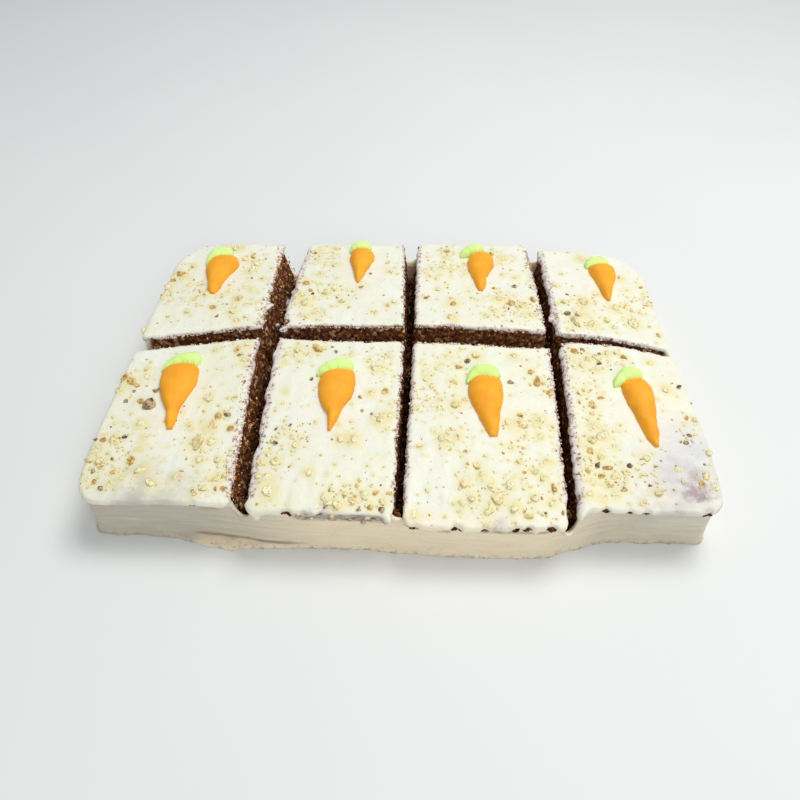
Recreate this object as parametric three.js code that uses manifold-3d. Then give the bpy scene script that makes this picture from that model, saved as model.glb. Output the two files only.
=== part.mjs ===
// A carrot traybake: a low rectangular sponge under cream cheese icing, scattered with chopped walnuts and cut
// into two rows of four slices. Each slice carries a piped carrot with a green top.
//
// Millimetres, +Z up. The origin is the middle of the base, X runs along the rows and -Y is the front.
//
// The eight slices of sponge are apart. The icing is one piece: the cuts go through its top, but only notch the
// wall of icing round the outside, which still holds the slices together.
import * as THREE from "three";
import { mergeVertices } from "three/addons/utils/BufferGeometryUtils.js";
import Module from "manifold-3d";

const wasm = await Module();
wasm.setup();
const { clamp, lerp, smoothstep } = THREE.MathUtils;

// Driving dimensions of the whole cake
const HALF_DEPTH = 121;
const HALF_WIDTH = 170.5;
const FRONT_CORNER_RADIUS = 14;
const BACK_CORNER_RADIUS = 30;
const EDGE_HEIGHT = 37.5;
const CROWN = 5;
const SHOULDER_RADIUS = 4.5;
const ICING_TOP = 2.6;
const ICING_SIDE = 7;
const GAP = 0.3;

// The left and right edges swell a little towards the front.
const LEFT_EDGE = [
  { y: -121, x: -169 },
  { y: -85, x: -170.5 },
  { y: 0, x: -168 },
  { y: 121, x: -163 },
];
const RIGHT_EDGE = [
  { y: -121, x: 169 },
  { y: -60, x: 170.5 },
  { y: 30, x: 167.5 },
  { y: 121, x: 163 },
];

// The slices were nudged as they were cut, so each column is set back by its own amount at the front and back.
// The lip of the icing steps sharply from column to column, and the foot of the wall runs on smoothly.
const LIP = { front: [8.5, 4, 0, 11], back: [6, 3.5, 0, 5.5], blend: 10 };
const FOOT = { front: [10, 5, 2, 14], back: [6.5, 4, 1, 6], blend: 50 };
// How far the top sags at the front edge of each column, and at the four corners
const FRONT_SAG = [1, 0, 3.5, 1];
const SAG_DEPTH = 30;
const CORNER_DROOP = 3;

// The icing's wall from the board to its lip: the height as a share of the lip's, and how far it is drawn in.
const ICING_WALL = [
  { height: 0, drawnIn: 0.6, edge: FOOT },
  { height: 0.08, drawnIn: 1, edge: FOOT },
  { height: 0.2, drawnIn: 2.2, edge: FOOT },
  { height: 0.8, drawnIn: 2.2, edge: FOOT },
  { height: 0.93, drawnIn: 0.7, edge: LIP },
  { height: 1, drawnIn: 0, edge: LIP },
];
const SPONGE_WALL = [
  { height: 0, drawnIn: 0, edge: FOOT },
  { height: 1, drawnIn: 0, edge: FOOT },
];
// Icing smeared out over the board at the front
const SMEAR = { x: -96, reach: 6.5, spread: 20, height: 0.1 };

// Grid lines of the forms: the distances of the outermost ones from the edge, and the cells between the others
const ICING_GRID = { edgeLines: [0, 0.8, 2.6, 7, 16], cell: 22, besideCuts: 7 };
const SPONGE_GRID = { edgeLines: [0, 3, 12], cell: 34, besideCuts: 0 };

// The cuts: where each runs, and how wide it gapes at the top. They close to a thin kerf at the board.
const KERF_WIDTH = 0.6;
const COLUMN_CUTS = [
  [
    { y: 130, x: -80, width: 20 },
    { y: 14, x: -84.5, width: 13 },
    { y: -130, x: -81.5, width: 10.5 },
  ],
  [
    { y: 130, x: 2.5, width: 11 },
    { y: 14, x: 3, width: 7 },
    { y: -130, x: -0.5, width: 5.5 },
  ],
  [
    { y: 130, x: 90, width: 10.5 },
    { y: 14, x: 94, width: 8 },
    { y: -130, x: 89.5, width: 7.5 },
  ],
];
const ROW_CUT = [
  { x: -178, y: 2, width: 13 },
  { x: -130, y: 10, width: 11 },
  { x: -90, y: 15, width: 12 },
  { x: -50, y: 15, width: 16 },
  { x: 50, y: 15, width: 17 },
  { x: 88, y: 14.5, width: 16 },
  { x: 102, y: 16.5, width: 8 },
  { x: 130, y: 15, width: 7 },
  { x: 178, y: 5, width: 7 },
];
const CUT_STEP = 14;
const CUT_LEVELS = [-1, 18, 37, 56];
const CRUMB_RELIEF = 0.6;
// Height of the wall left standing where a cut runs out through it. The row cut stops short at the right.
const FRONT_NOTCHES = [28, 30, 24];
const BACK_NOTCHES = [11, 23, 24];
const LEFT_NOTCH = 19;
const NOTCH_SIDES = 5;
const NOTCH_FLARE = 4;

// Each slice's decoration: the carrot's crown and tip, its width and its bend to the right at each station, and
// three points of the leaf from the crown.
const DECORATIONS = {
  front_1: {
    crown: [-132.5, -14],
    tip: [-128.5, -66],
    widths: [12, 18, 21, 21.3, 17.8, 13.3, 8.6, 6.3, 2.5],
    bends: [0, 0.3, 0.8, 0.5, 0.2, 0, -0.7, -0.5, 0],
    leaf: [[-12, -6.5], [-1.5, 0.5], [9.5, 2.5]],
  },
  front_2: {
    crown: [-37.8, -19.5],
    tip: [-39.8, -65.5],
    widths: [14, 18.5, 20.7, 21, 18.6, 13.6, 8.2, 5.2, 1.2],
    bends: [0, 0, 0, 0, -0.3, -0.2, 1, 0.8, 0],
    leaf: [[-13, -5.5], [-3, 0.5], [8, 2]],
  },
  front_3: {
    crown: [49, -22.5],
    tip: [50.5, -67],
    widths: [13.5, 16.8, 18.3, 17.5, 15.4, 12.6, 9.8, 7.6, 4],
    bends: [0, 0, -0.2, -0.3, -0.2, 0, 0, 0.4, 0.3],
    leaf: [[-11.5, -5.5], [-2.5, 2.5], [7, -0.5]],
  },
  front_4: {
    crown: [136, -19.5],
    tip: [140.2, -69],
    widths: [11, 15, 17.4, 16.6, 13.6, 11.1, 9.4, 6.8, 2],
    bends: [0, 0.2, 0.2, 0, 0.3, 0, -0.3, -0.4, 0],
    leaf: [[-12, -6.5], [-3, 2], [5, 1]],
  },
  back_1: {
    crown: [-126.3, 94.5],
    tip: [-129.7, 53.5],
    widths: [11, 17, 21, 21, 17.5, 12.6, 10, 8.5, 3.5],
    bends: [0, -0.2, -1, -2, -2.4, -2, -1.2, -0.5, 0],
    leaf: [[-14, -9], [-8, 0.5], [2, 2.5]],
  },
  back_2: {
    crown: [-32.5, 106.5],
    tip: [-33, 67],
    widths: [9.5, 14, 16.8, 17, 14.5, 10.5, 7.5, 5, 1.5],
    bends: [0.3, 0.3, 0.5, 0.6, 0.6, 0.5, 0.3, 0, 0],
    leaf: [[-8.5, -3], [-2, 1], [6, 1]],
  },
  back_3: {
    crown: [53, 105],
    tip: [50, 62],
    widths: [10, 15, 18, 18.3, 15.5, 11, 8.3, 6.3, 3],
    bends: [0, 0, -0.3, -0.8, -1.3, -1, -0.5, 0, 0],
    leaf: [[-15, -4.5], [-7.5, 2], [1, 2.5]],
  },
  back_4: {
    crown: [136, 96],
    tip: [135.2, 56],
    widths: [13, 17, 18.8, 17.5, 14, 10.5, 8, 6, 2],
    bends: [0, 0, 0.1, 0.3, 0.2, 0, -0.2, -0.3, 0],
    leaf: [[-10.5, -4.5], [-3.5, 0.8], [5.5, 0]],
  },
};
// The stations along a carrot from crown to tip, and its height at each
const CARROT_PROFILE = [
  { along: 0, height: 2.2 },
  { along: 0.06, height: 4 },
  { along: 0.18, height: 6 },
  { along: 0.32, height: 6.2 },
  { along: 0.46, height: 5.8 },
  { along: 0.6, height: 5 },
  { along: 0.74, height: 4.2 },
  { along: 0.88, height: 3.4 },
  { along: 1, height: 1.2 },
];
const CARROT_SIDES = 10;
// Along a leaf: how far along, its half width and its height
const LEAF_PROFILE = [
  { along: 0, half: 1.2, height: 1.6 },
  { along: 0.13, half: 3.6, height: 4.4 },
  { along: 0.36, half: 5.3, height: 6 },
  { along: 0.66, half: 5.7, height: 6.2 },
  { along: 0.88, half: 4.9, height: 5.4 },
  { along: 1, half: 2.6, height: 2.6 },
];
const LEAF_SIDES = 8;

// Chopped walnuts: the places and radii of the larger bits on each slice
const NUT_SUNK = 0.3;
const NUT_EDGE_CLEARANCE = -0.5;
const NUTS = {
  front_1: [
    [-144, -50, 3.4], [-165, -27, 2.6], [-161, -30.5, 2.8], [-166, -36, 2.2], [-157, -32, 2], [-151, -45, 2],
    [-103.5, -56.5, 2.4], [-106, -64.5, 3.2], [-112, -75, 3.6], [-104, -73, 2.4], [-144, -89, 2.3],
    [-151.5, -95.5, 2], [-167, -87, 2], [-161, -88, 2.6], [-165, -80, 2.6], [-164, -74, 2.2], [-157.5, -74, 2.4],
    [-136, -94, 3.2], [-130, -101, 2.4], [-141, -80, 2], [-160, -101, 2], [-98, -98, 2.6], [-93.5, -96.5, 2.2],
    [-102, -104, 2], [-108, -86, 2.2], [-112, -43, 2.2], [-94, -64, 2.2], [-102.5, -1, 2.2], [-97, 2.5, 2.2],
    [-97, -11, 2], [-146, -63, 2.6],
  ],
  front_2: [
    [-53, -1.5, 3], [-65.5, -2.5, 2.4], [-10, -35, 2], [-18, -37, 2.2], [-16, -16.5, 2.4], [-10, -55, 3.4],
    [-6, -53, 2.2], [-13, -59, 2], [-32, -71.5, 2.6], [-27, -71.5, 3.2], [-67, -87, 3], [-74, -88.5, 2.4],
    [-70, -98.5, 3], [-67, -106, 3], [-74, -96, 2], [-48, -94, 2], [-30, -113, 2.4], [-24, -110, 2.6],
    [-18, -107, 2.2], [-14, -113, 2.2], [-35, -112, 2.2], [-12, -105, 2], [-8, -110, 2],
  ],
  front_3: [
    [43.5, -4, 2.6], [33, -14, 2.2], [30, -27, 2.2], [67, -2, 2], [79, -24, 2.4], [86, -33, 2], [31, -44, 2.6],
    [65, -58, 3.6], [59, -57, 2], [77, -54, 3], [76.5, -65, 2.2], [84, -59, 2], [24, -70, 3], [31, -68, 2],
    [71, -89, 2.2], [79, -83, 2.6], [34, -97, 2.4], [43, -92, 2.2], [52, -105, 3.4], [46, -112, 2.6],
    [38, -105, 2.4], [58, -98, 2], [81, -99, 2.4], [76, -93, 2], [70, -104, 2], [60, -110, 2.6], [32, -108, 2],
    [8, -115, 2.2], [66, -114, 2],
  ],
  front_4: [
    [104.5, 4, 2.6], [112, -3, 2.8], [108, -8, 2.2], [118, -1, 2.2], [116, -12, 2], [125, 3, 2], [135, -1, 2],
    [115.5, -34, 2.2], [110, -40, 2.4], [108, -47, 2], [108, -56, 3], [112, -63, 3.2], [105, -66, 2.8],
    [117, -70, 2], [103, -75, 2.6], [108, -78, 2.6], [111, -84, 2.2], [100, -86, 2.2], [106, -90, 2.4],
    [114, -91, 2.2], [117, -97, 2.2], [109, -96, 2.4], [101, -94, 2.2], [112, -101, 2.2], [120, -87, 2],
    [132.5, -77, 2.5], [134, -98.5, 2.4], [148, -83.5, 2], [166, -48, 2], [167, -72, 2.2], [162, -88, 2.2],
    [159, -93, 2], [155, -25, 2.2],
  ],
  back_1: [
    [-157.5, 77, 3], [-154, 72, 2.8], [-160, 70, 2], [-162, 62, 2.8], [-164.5, 53, 2.2], [-150, 86, 2],
    [-113, 93, 2.8], [-109.5, 97, 2], [-108, 79, 2.8], [-123, 106, 3], [-104, 58, 2], [-110.5, 46.5, 2.8],
    [-112, 34, 2.2], [-126, 39, 2.4], [-133, 54, 2.8], [-141, 48, 2], [-118, 55, 2], [-167, 19, 2.2],
  ],
  back_2: [
    [-58.5, 34, 2.6], [-67, 44.5, 3.4], [-70, 52, 2.6], [-68.5, 66.5, 2.2], [-53, 55, 2.6], [-42, 47, 2],
    [-60, 77, 2.4], [-65, 106, 2],
  ],
  back_3: [
    [31, 45.5, 3.4], [30, 31, 2.6], [77, 47, 2.8], [62, 53, 3], [58, 40, 2], [80, 37, 2], [25, 87, 2.4],
    [33, 88, 2], [67.5, 101, 3], [28, 110, 2.4], [84, 53, 2],
  ],
  back_4: [
    [117, 53, 3.2], [114.5, 39, 3.4], [109.5, 31.5, 3.4], [120, 29.5, 3], [138, 48, 2.6], [149, 68, 2.3],
    [146, 50, 2.2], [148, 33.5, 3.4], [162, 55, 2], [124, 104.5, 3], [104, 52, 2], [148, 82, 2.2],
  ],
};

const MATERIALS = {
  icing: new THREE.MeshStandardMaterial({ color: 0xf7f2e3, roughness: 0.55, metalness: 0 }),
  sponge: new THREE.MeshStandardMaterial({ color: 0x6e4425, roughness: 0.95, metalness: 0 }),
  carrot: new THREE.MeshStandardMaterial({ color: 0xff9a26, roughness: 0.5, metalness: 0 }),
  leaf: new THREE.MeshStandardMaterial({ color: 0xbdf06c, roughness: 0.5, metalness: 0 }),
};

// Repeatable random numbers from 0 to 1
function randomFrom(seed) {
  let state = seed;
  return () => {
    state = (state + 0x6d2b79f5) | 0;
    let mixed = Math.imul(state ^ (state >>> 15), 1 | state);
    mixed = (mixed + Math.imul(mixed ^ (mixed >>> 7), 61 | mixed)) ^ mixed;
    return ((mixed ^ (mixed >>> 14)) >>> 0) / 4294967296;
  };
}

// The value of one key between the two knots round a position, by a straight line
function between(knots, axis, position, key) {
  const ordered = [...knots].sort((p, q) => p[axis] - q[axis]);
  const next = ordered.findIndex((knot) => knot[axis] >= position);
  if (next === 0) return ordered[0][key];
  if (next < 0) return ordered.at(-1)[key];
  const [low, high] = [ordered[next - 1], ordered[next]];
  return lerp(low[key], high[key], (position - low[axis]) / (high[axis] - low[axis]));
}

// The columns' own amounts at x, eased from one to the next across the cuts
function byColumn(x, amounts, blend) {
  return COLUMN_CUTS.reduce((sum, cut, i) => {
    const middle = cut[1].x;
    return sum + (amounts[i + 1] - amounts[i]) * smoothstep(x, middle - blend / 2, middle + blend / 2);
  }, amounts[0]);
}

// Height of the icing's top over the board: a shallow crown with the long waves that a palette knife leaves
function crownAt(x, y) {
  const outX = clamp(Math.abs(x) / HALF_WIDTH, 0, 1);
  const outY = clamp(Math.abs(y) / HALF_DEPTH, 0, 1);
  const waves = 0.45 * Math.sin(x / 17 + y / 41) + 0.35 * Math.sin(y / 13 - x / 29 + 1);
  const sag = byColumn(x, FRONT_SAG, LIP.blend) * smoothstep(-y, HALF_DEPTH - SAG_DEPTH, HALF_DEPTH);
  return EDGE_HEIGHT + CROWN * (1 - outX ** 2) * (1 - outY ** 2) + waves - sag - CORNER_DROOP * (outX * outY) ** 5;
}

// Grid lines across the cake: closer together at both edges, and with one on each side of every cut
function gridLines(half, cutMiddles, { edgeLines, cell, besideCuts }) {
  const inner = half - edgeLines.at(-1);
  const beside = besideCuts ? cutMiddles.flatMap((middle) => [middle - besideCuts, middle + besideCuts]) : [];
  const stops = [-inner, ...beside, inner];
  const lines = edgeLines.slice(0, -1).map((distance) => distance - half);
  for (let i = 0; i + 1 < stops.length; i++) {
    const pieces = Math.max(1, Math.round((stops[i + 1] - stops[i]) / cell));
    for (let p = 0; p < pieces; p++) lines.push(lerp(stops[i], stops[i + 1], p / pieces));
  }
  const farEdge = edgeLines.map((distance) => half - distance).reverse();
  return [...lines, ...farEdge];
}

// Where a grid line falls once the edge on its side has moved: the outermost lines keep their distance from it
function fitted(line, half, movedHalf, edgeLines) {
  const inner = half - edgeLines.at(-1);
  if (Math.abs(line) > inner) return Math.sign(line) * (movedHalf - (half - Math.abs(line)));
  return (line * (movedHalf - edgeLines.at(-1))) / inner;
}

// How far the smear of icing at the foot of the front wall reaches out at x
function smearAt(x) {
  return SMEAR.reach * Math.exp(-(((x - SMEAR.x) / SMEAR.spread) ** 2));
}

// A closed body in the cake's own form: inset from its outline, and lifted or lowered at the top
function cakeForm({ inset, lift, grid, wall }) {
  const cutMiddles = COLUMN_CUTS.map((cut) => cut[1].x);
  const xLines = gridLines(HALF_WIDTH, cutMiddles, grid);
  const yLines = gridLines(HALF_DEPTH, [COLUMN_CUTS[0][1].y], grid);
  const box = new THREE.BoxGeometry(2, 2, 2, xLines.length - 1, yLines.length - 1, wall.length - 1);
  box.deleteAttribute("normal");
  box.deleteAttribute("uv");
  const geometry = mergeVertices(box);
  const points = geometry.attributes.position;
  const lineOf = (unit, lines) => lines[Math.round(((unit + 1) / 2) * (lines.length - 1))];
  for (let i = 0; i < points.count; i++) {
    const ring = lineOf(points.getZ(i), wall);
    const offset = inset + ring.drawnIn;
    const halfDepth = HALF_DEPTH - offset;
    const squareY = fitted(lineOf(points.getY(i), yLines), HALF_DEPTH, halfDepth, grid.edgeLines);
    const left = between(LEFT_EDGE, "y", squareY, "x") + offset;
    const right = between(RIGHT_EDGE, "y", squareY, "x") - offset;
    const lineX = lineOf(points.getX(i), xLines);
    const squareX = fitted(lineX, HALF_WIDTH, lineX < 0 ? -left : right, grid.edgeLines);

    // Each square corner is drawn in to a round one.
    const radius = Math.max((squareY < 0 ? FRONT_CORNER_RADIUS : BACK_CORNER_RADIUS) - offset, 3);
    const cornerX = clamp(squareX, left + radius, right - radius);
    const cornerY = clamp(squareY, radius - halfDepth, halfDepth - radius);
    const [outX, outY] = [squareX - cornerX, squareY - cornerY];
    const rounding = outX && outY ? Math.max(Math.abs(outX), Math.abs(outY)) / Math.hypot(outX, outY) : 1;
    const x = cornerX + outX * rounding;
    const edgeShare = (Math.abs(squareY) / halfDepth) ** 2;
    let y = cornerY + outY * rounding;
    if (squareY < 0) {
      y += byColumn(x, ring.edge.front, ring.edge.blend) * edgeShare;
      if (wall === ICING_WALL && ring.height < SMEAR.height) y -= smearAt(x) * edgeShare;
    } else {
      y -= byColumn(x, ring.edge.back, ring.edge.blend) * edgeShare;
    }

    const top = crownAt(x, y) + lift;
    const inFromEdge = Math.min(squareX - left, right - squareX, halfDepth - Math.abs(squareY));
    const short = Math.max(SHOULDER_RADIUS - inFromEdge, 0);
    const shoulder = SHOULDER_RADIUS - Math.sqrt(SHOULDER_RADIUS ** 2 - short ** 2);
    points.setXYZ(i, x, y, ring.height < 1 ? ring.height * (top - SHOULDER_RADIUS) : top - shoulder);
  }
  return solidOf(geometry);
}

// A closed indexed geometry as a manifold-3d solid, turned right side out
function solidOf(geometry) {
  const triVerts = new Uint32Array(geometry.index.array);
  const mesh = { numProp: 3, vertProperties: new Float32Array(geometry.attributes.position.array), triVerts };
  const made = new wasm.Manifold(new wasm.Mesh(mesh));
  if (made.volume() > 0) return made;
  for (let i = 0; i < triVerts.length; i += 3) {
    [triVerts[i + 1], triVerts[i + 2]] = [triVerts[i + 2], triVerts[i + 1]];
  }
  return new wasm.Manifold(new wasm.Mesh({ ...mesh, triVerts }));
}

// A solid through a row of closed rings with equal numbers of points, each end closed by a fan
function loft(rings) {
  const sides = rings[0].length;
  const points = rings.flat();
  const triangles = [];
  for (let r = 0; r + 1 < rings.length; r++) {
    for (let s = 0; s < sides; s++) {
      const [a, b] = [r * sides + s, r * sides + ((s + 1) % sides)];
      triangles.push(a, b, b + sides, a, b + sides, a + sides);
    }
  }
  for (const [ring, first] of [[rings[0], 0], [rings.at(-1), (rings.length - 1) * sides]]) {
    const centre = ring.reduce((sum, p) => sum.add(p), new THREE.Vector3()).divideScalar(sides);
    points.push(centre);
    for (let s = 0; s < sides; s++) {
      const [a, b] = [first + s, first + ((s + 1) % sides)];
      triangles.push(points.length - 1, ...(first ? [a, b] : [b, a]));
    }
  }
  const geometry = new THREE.BufferGeometry().setFromPoints(points);
  return solidOf(geometry.setIndex(triangles));
}

// A knife cut as a solid: a wedge that gapes at the top, with crumbly sides
function cutSolid(knots, runAxis, random) {
  const acrossAxis = runAxis === "x" ? "y" : "x";
  const [from, to] = [knots[0][runAxis], knots.at(-1)[runAxis]];
  const steps = Math.ceil(Math.abs(to - from) / CUT_STEP);
  const rings = [];
  for (let s = 0; s <= steps; s++) {
    const run = lerp(from, to, s / steps);
    const centre = between(knots, runAxis, run, acrossAxis);
    const width = between(knots, runAxis, run, "width");
    const sidePoint = (side) => (z) => {
      const share = clamp(z / EDGE_HEIGHT, 0, 1.1);
      const open = lerp(KERF_WIDTH, width, share) / 2;
      const across = centre + side * open + (random() - 0.5) * 2 * CRUMB_RELIEF * share;
      const point = new THREE.Vector3(0, 0, z);
      point[runAxis] = run;
      point[acrossAxis] = across;
      return point;
    };
    rings.push([...CUT_LEVELS.map(sidePoint(-1)), ...[...CUT_LEVELS].reverse().map(sidePoint(1))]);
  }
  return loft(rings);
}

// The notch that a cut leaves in the top of the outer wall: a U as wide as the cut, flared outside
function notchSolid(knots, runAxis, outside, inside, floor) {
  const acrossAxis = runAxis === "x" ? "y" : "x";
  const rings = [outside, inside].map((run) => {
    const centre = between(knots, runAxis, run, acrossAxis);
    const half = between(knots, runAxis, run, "width") / 2;
    const topHalf = half + (run === outside ? NOTCH_FLARE : 0);
    const ring = [];
    const place = (across, z) => {
      const point = new THREE.Vector3(0, 0, z);
      point[runAxis] = run;
      point[acrossAxis] = centre + across;
      ring.push(point);
    };
    place(topHalf, CUT_LEVELS.at(-1));
    for (let s = 0; s <= NOTCH_SIDES; s++) {
      const angle = (s / NOTCH_SIDES) * Math.PI;
      place(half * 0.85 * Math.cos(angle), floor + (1 - Math.sin(angle)) * half * 0.85);
    }
    place(-topHalf, CUT_LEVELS.at(-1));
    return ring;
  });
  return loft(rings);
}

// A piped shape: ellipses along a line of stations, each with a place, a direction, a half width and a height
function piped(stations, sides, swell) {
  const up = new THREE.Vector3(0, 0, 1);
  return loft(
    stations.map(({ x, y, direction, half, height }) => {
      const side = new THREE.Vector3().crossVectors(direction, up).normalize();
      const centre = new THREE.Vector3(x, y, crownAt(x, y) + 0.8);
      return Array.from({ length: sides }, (_, i) => {
        const angle = (i / sides) * 2 * Math.PI;
        return centre
          .clone()
          .addScaledVector(side, Math.cos(angle) * (half + swell))
          .addScaledVector(up, Math.sin(angle) * (height + swell));
      });
    }),
  );
}

function carrotSolid({ crown, tip, widths, bends }) {
  const direction = new THREE.Vector3(tip[0] - crown[0], tip[1] - crown[1], 0).normalize();
  const stations = CARROT_PROFILE.map(({ along, height }, i) => ({
    x: lerp(crown[0], tip[0], along) + bends[i],
    y: lerp(crown[1], tip[1], along),
    direction,
    half: widths[i] / 2,
    height,
  }));
  return piped(stations, CARROT_SIDES, 0);
}

function leafSolid({ crown, leaf }, swell) {
  const line = new THREE.CatmullRomCurve3(leaf.map(([x, y]) => new THREE.Vector3(crown[0] + x, crown[1] + y, 0)));
  const stations = LEAF_PROFILE.map(({ along, half, height }) => {
    const direction = line.getTangent(along);
    const endSwell = along === 0 ? -swell : along === 1 ? swell : 0;
    const { x, y } = line.getPoint(along).addScaledVector(direction, endSwell);
    return { x, y, direction, half, height };
  });
  return piped(stations, LEAF_SIDES, swell);
}

// True where a nut of that radius lies on the icing, clear of the edge, the cuts and the decorations
function nutFits([x, y, radius]) {
  const margin = NUT_EDGE_CLEARANCE + radius / 2;
  const front = byColumn(x, LIP.front, LIP.blend) - HALF_DEPTH + margin;
  const back = HALF_DEPTH - byColumn(x, LIP.back, LIP.blend) - margin;
  const left = between(LEFT_EDGE, "y", y, "x") + margin;
  const right = between(RIGHT_EDGE, "y", y, "x") - margin;
  const corner = y < 0 ? FRONT_CORNER_RADIUS : BACK_CORNER_RADIUS;
  const outX = x - clamp(x, left + corner, right - corner);
  const outY = y - clamp(y, front + corner, back - corner);
  if (Math.hypot(outX, outY) > corner) return false;

  const clearOf = (knots, run, across, at) =>
    Math.abs(at - between(knots, run, run === "x" ? x : y, across)) >
    between(knots, run, run === "x" ? x : y, "width") / 2 + radius * 0.7;
  if (!clearOf(ROW_CUT, "x", "y", y)) return false;
  if (!COLUMN_CUTS.every((knots) => clearOf(knots, "y", "x", x))) return false;

  const point = new THREE.Vector3(x, y, 0);
  return Object.values(DECORATIONS).every(({ crown, tip, widths, leaf }) => {
    const spine = new THREE.Line3(new THREE.Vector3(...crown, 0), new THREE.Vector3(...tip, 0));
    const along = spine.closestPointToPointParameter(point, true);
    const nearest = spine.at(along, new THREE.Vector3());
    const stations = CARROT_PROFILE.map((station, i) => ({ along: station.along, half: widths[i] / 2 }));
    const half = between(stations, "along", along, "half");
    const clearOfLeaf = leaf.every(([lx, ly]) => Math.hypot(x - crown[0] - lx, y - crown[1] - ly) > 7 + radius);
    return point.distanceTo(nearest) > half + radius + 1 && clearOfLeaf;
  });
}

// Chopped walnuts as sharp-edged lumps
function nutSolids(random) {
  const nuts = Object.values(NUTS).flat();
  return nuts.filter(nutFits).map(([x, y, radius]) => {
    const lump = mergeVertices(
      new THREE.OctahedronGeometry(radius, 0).deleteAttribute("normal").deleteAttribute("uv"),
    );
    const points = lump.attributes.position;
    for (let i = 0; i < points.count; i++) {
      const stretch = 0.7 + 0.45 * random();
      points.setXYZ(i, points.getX(i) * stretch, points.getY(i) * stretch, points.getZ(i) * stretch);
    }
    const turn = new THREE.Euler(random() * Math.PI, random() * Math.PI, random() * Math.PI);
    lump.applyMatrix4(new THREE.Matrix4().makeRotationFromEuler(turn));
    lump.scale(1, 1, 0.75);
    return solidOf(lump.translate(x, y, crownAt(x, y) + radius * NUT_SUNK));
  });
}

// The largest separate body of a solid, without the scraps that a cut leaves
function mainBody(solid) {
  return solid.decompose().reduce((most, body) => (body.volume() > most.volume() ? body : most));
}

// A solid as a named mesh that sits at its own middle, inside a parent placed at parentOrigin
function meshOf(name, solid, material, parentOrigin = new THREE.Vector3()) {
  const { vertProperties, triVerts, numProp } = solid.getMesh();
  const positions = new Float32Array((vertProperties.length / numProp) * 3);
  for (let i = 0; i < positions.length / 3; i++) {
    positions.set(vertProperties.subarray(i * numProp, i * numProp + 3), i * 3);
  }
  const geometry = new THREE.BufferGeometry();
  geometry.setAttribute("position", new THREE.BufferAttribute(positions, 3));
  geometry.setIndex(new THREE.BufferAttribute(triVerts, 1));
  geometry.computeBoundingBox();
  const { min, max } = geometry.boundingBox;
  const origin = new THREE.Vector3((min.x + max.x) / 2, (min.y + max.y) / 2, min.z);
  geometry.translate(-origin.x, -origin.y, -origin.z);
  geometry.computeVertexNormals();
  const mesh = new THREE.Mesh(geometry, material);
  mesh.name = name;
  mesh.position.copy(origin).sub(parentOrigin);
  return mesh;
}

// The forms that everything is cut from
const icingShape = { grid: ICING_GRID, wall: ICING_WALL };
const spongeShape = { grid: SPONGE_GRID, wall: SPONGE_WALL };
const icingForm = cakeForm({ inset: 0, lift: 0, ...icingShape });
const liftedIcingForm = cakeForm({ inset: 0, lift: GAP, ...icingShape });
const spongeForm = cakeForm({ inset: ICING_SIDE, lift: -ICING_TOP, ...spongeShape });
const spongeRoom = cakeForm({ inset: ICING_SIDE - GAP, lift: GAP - ICING_TOP, ...spongeShape });
const insideWall = cakeForm({ inset: ICING_SIDE - GAP, lift: 2 * SHOULDER_RADIUS, ...spongeShape });

const random = randomFrom(8);
const columnCuts = COLUMN_CUTS.map((knots) => cutSolid(knots, "y", random));
const rowCut = cutSolid(ROW_CUT, "x", random);
const cuts = wasm.Manifold.union([...columnCuts, rowCut]);

// Each notch starts outside the wall and ends just inside it.
const beyond = HALF_DEPTH + 2;
const wallReach = HALF_DEPTH - ICING_SIDE - 3;
const notches = COLUMN_CUTS.flatMap((knots, i) => [
  notchSolid(knots, "y", -beyond, Math.max(FOOT.front[i], FOOT.front[i + 1]) - wallReach, FRONT_NOTCHES[i]),
  notchSolid(knots, "y", beyond, wallReach - Math.max(FOOT.back[i], FOOT.back[i + 1]), BACK_NOTCHES[i]),
]);
notches.push(notchSolid(ROW_CUT, "x", -HALF_WIDTH - 2, -HALF_WIDTH + ICING_SIDE + 6, LEFT_NOTCH));

const bareIcing = icingForm.subtract(spongeRoom).subtract(cuts.intersect(insideWall));
const notchedIcing = bareIcing.subtract(wasm.Manifold.union(notches));
const icing = mainBody(wasm.Manifold.union([mainBody(notchedIcing), ...nutSolids(random)]));

const cake = new THREE.Group();
cake.add(meshOf("icing", icing, MATERIALS.icing));

// The sponge falls into eight slices, named by row from the front and by column from the left.
for (const slice of spongeForm.subtract(cuts).decompose()) {
  const { min, max } = slice.boundingBox();
  const [x, y] = [(min[0] + max[0]) / 2, (min[1] + max[1]) / 2];
  const column = COLUMN_CUTS.filter((knots) => x > knots[1].x).length + 1;
  const place = `${y < ROW_CUT[3].y ? "front" : "back"}_${column}`;
  const decoration = DECORATIONS[place];
  const group = new THREE.Group();
  group.position.set(x, y, 0);
  const leaf = mainBody(leafSolid(decoration, 0).subtract(liftedIcingForm));
  const carrotRoom = leafSolid(decoration, GAP).add(liftedIcingForm);
  const carrot = mainBody(carrotSolid(decoration).subtract(carrotRoom));
  group.add(meshOf(`sponge_${place}`, slice, MATERIALS.sponge, group.position));
  group.add(meshOf(`carrot_${place}`, carrot, MATERIALS.carrot, group.position));
  group.add(meshOf(`leaf_${place}`, leaf, MATERIALS.leaf, group.position));
  cake.add(group);
}

export default cake;
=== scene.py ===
"""Looks of a cut carrot traybake: soft icing, chopped walnuts, crumbly brown sponge and piped carrots.

The tables are in millimetres in the part's own frame, as the solids are, and every mesh is made in metres.
The icing is modelled slice by slice over one wall, then fused into a single skin.
"""

import math

import bmesh
import bpy
import numpy as np
from mathutils import Matrix, Vector


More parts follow.
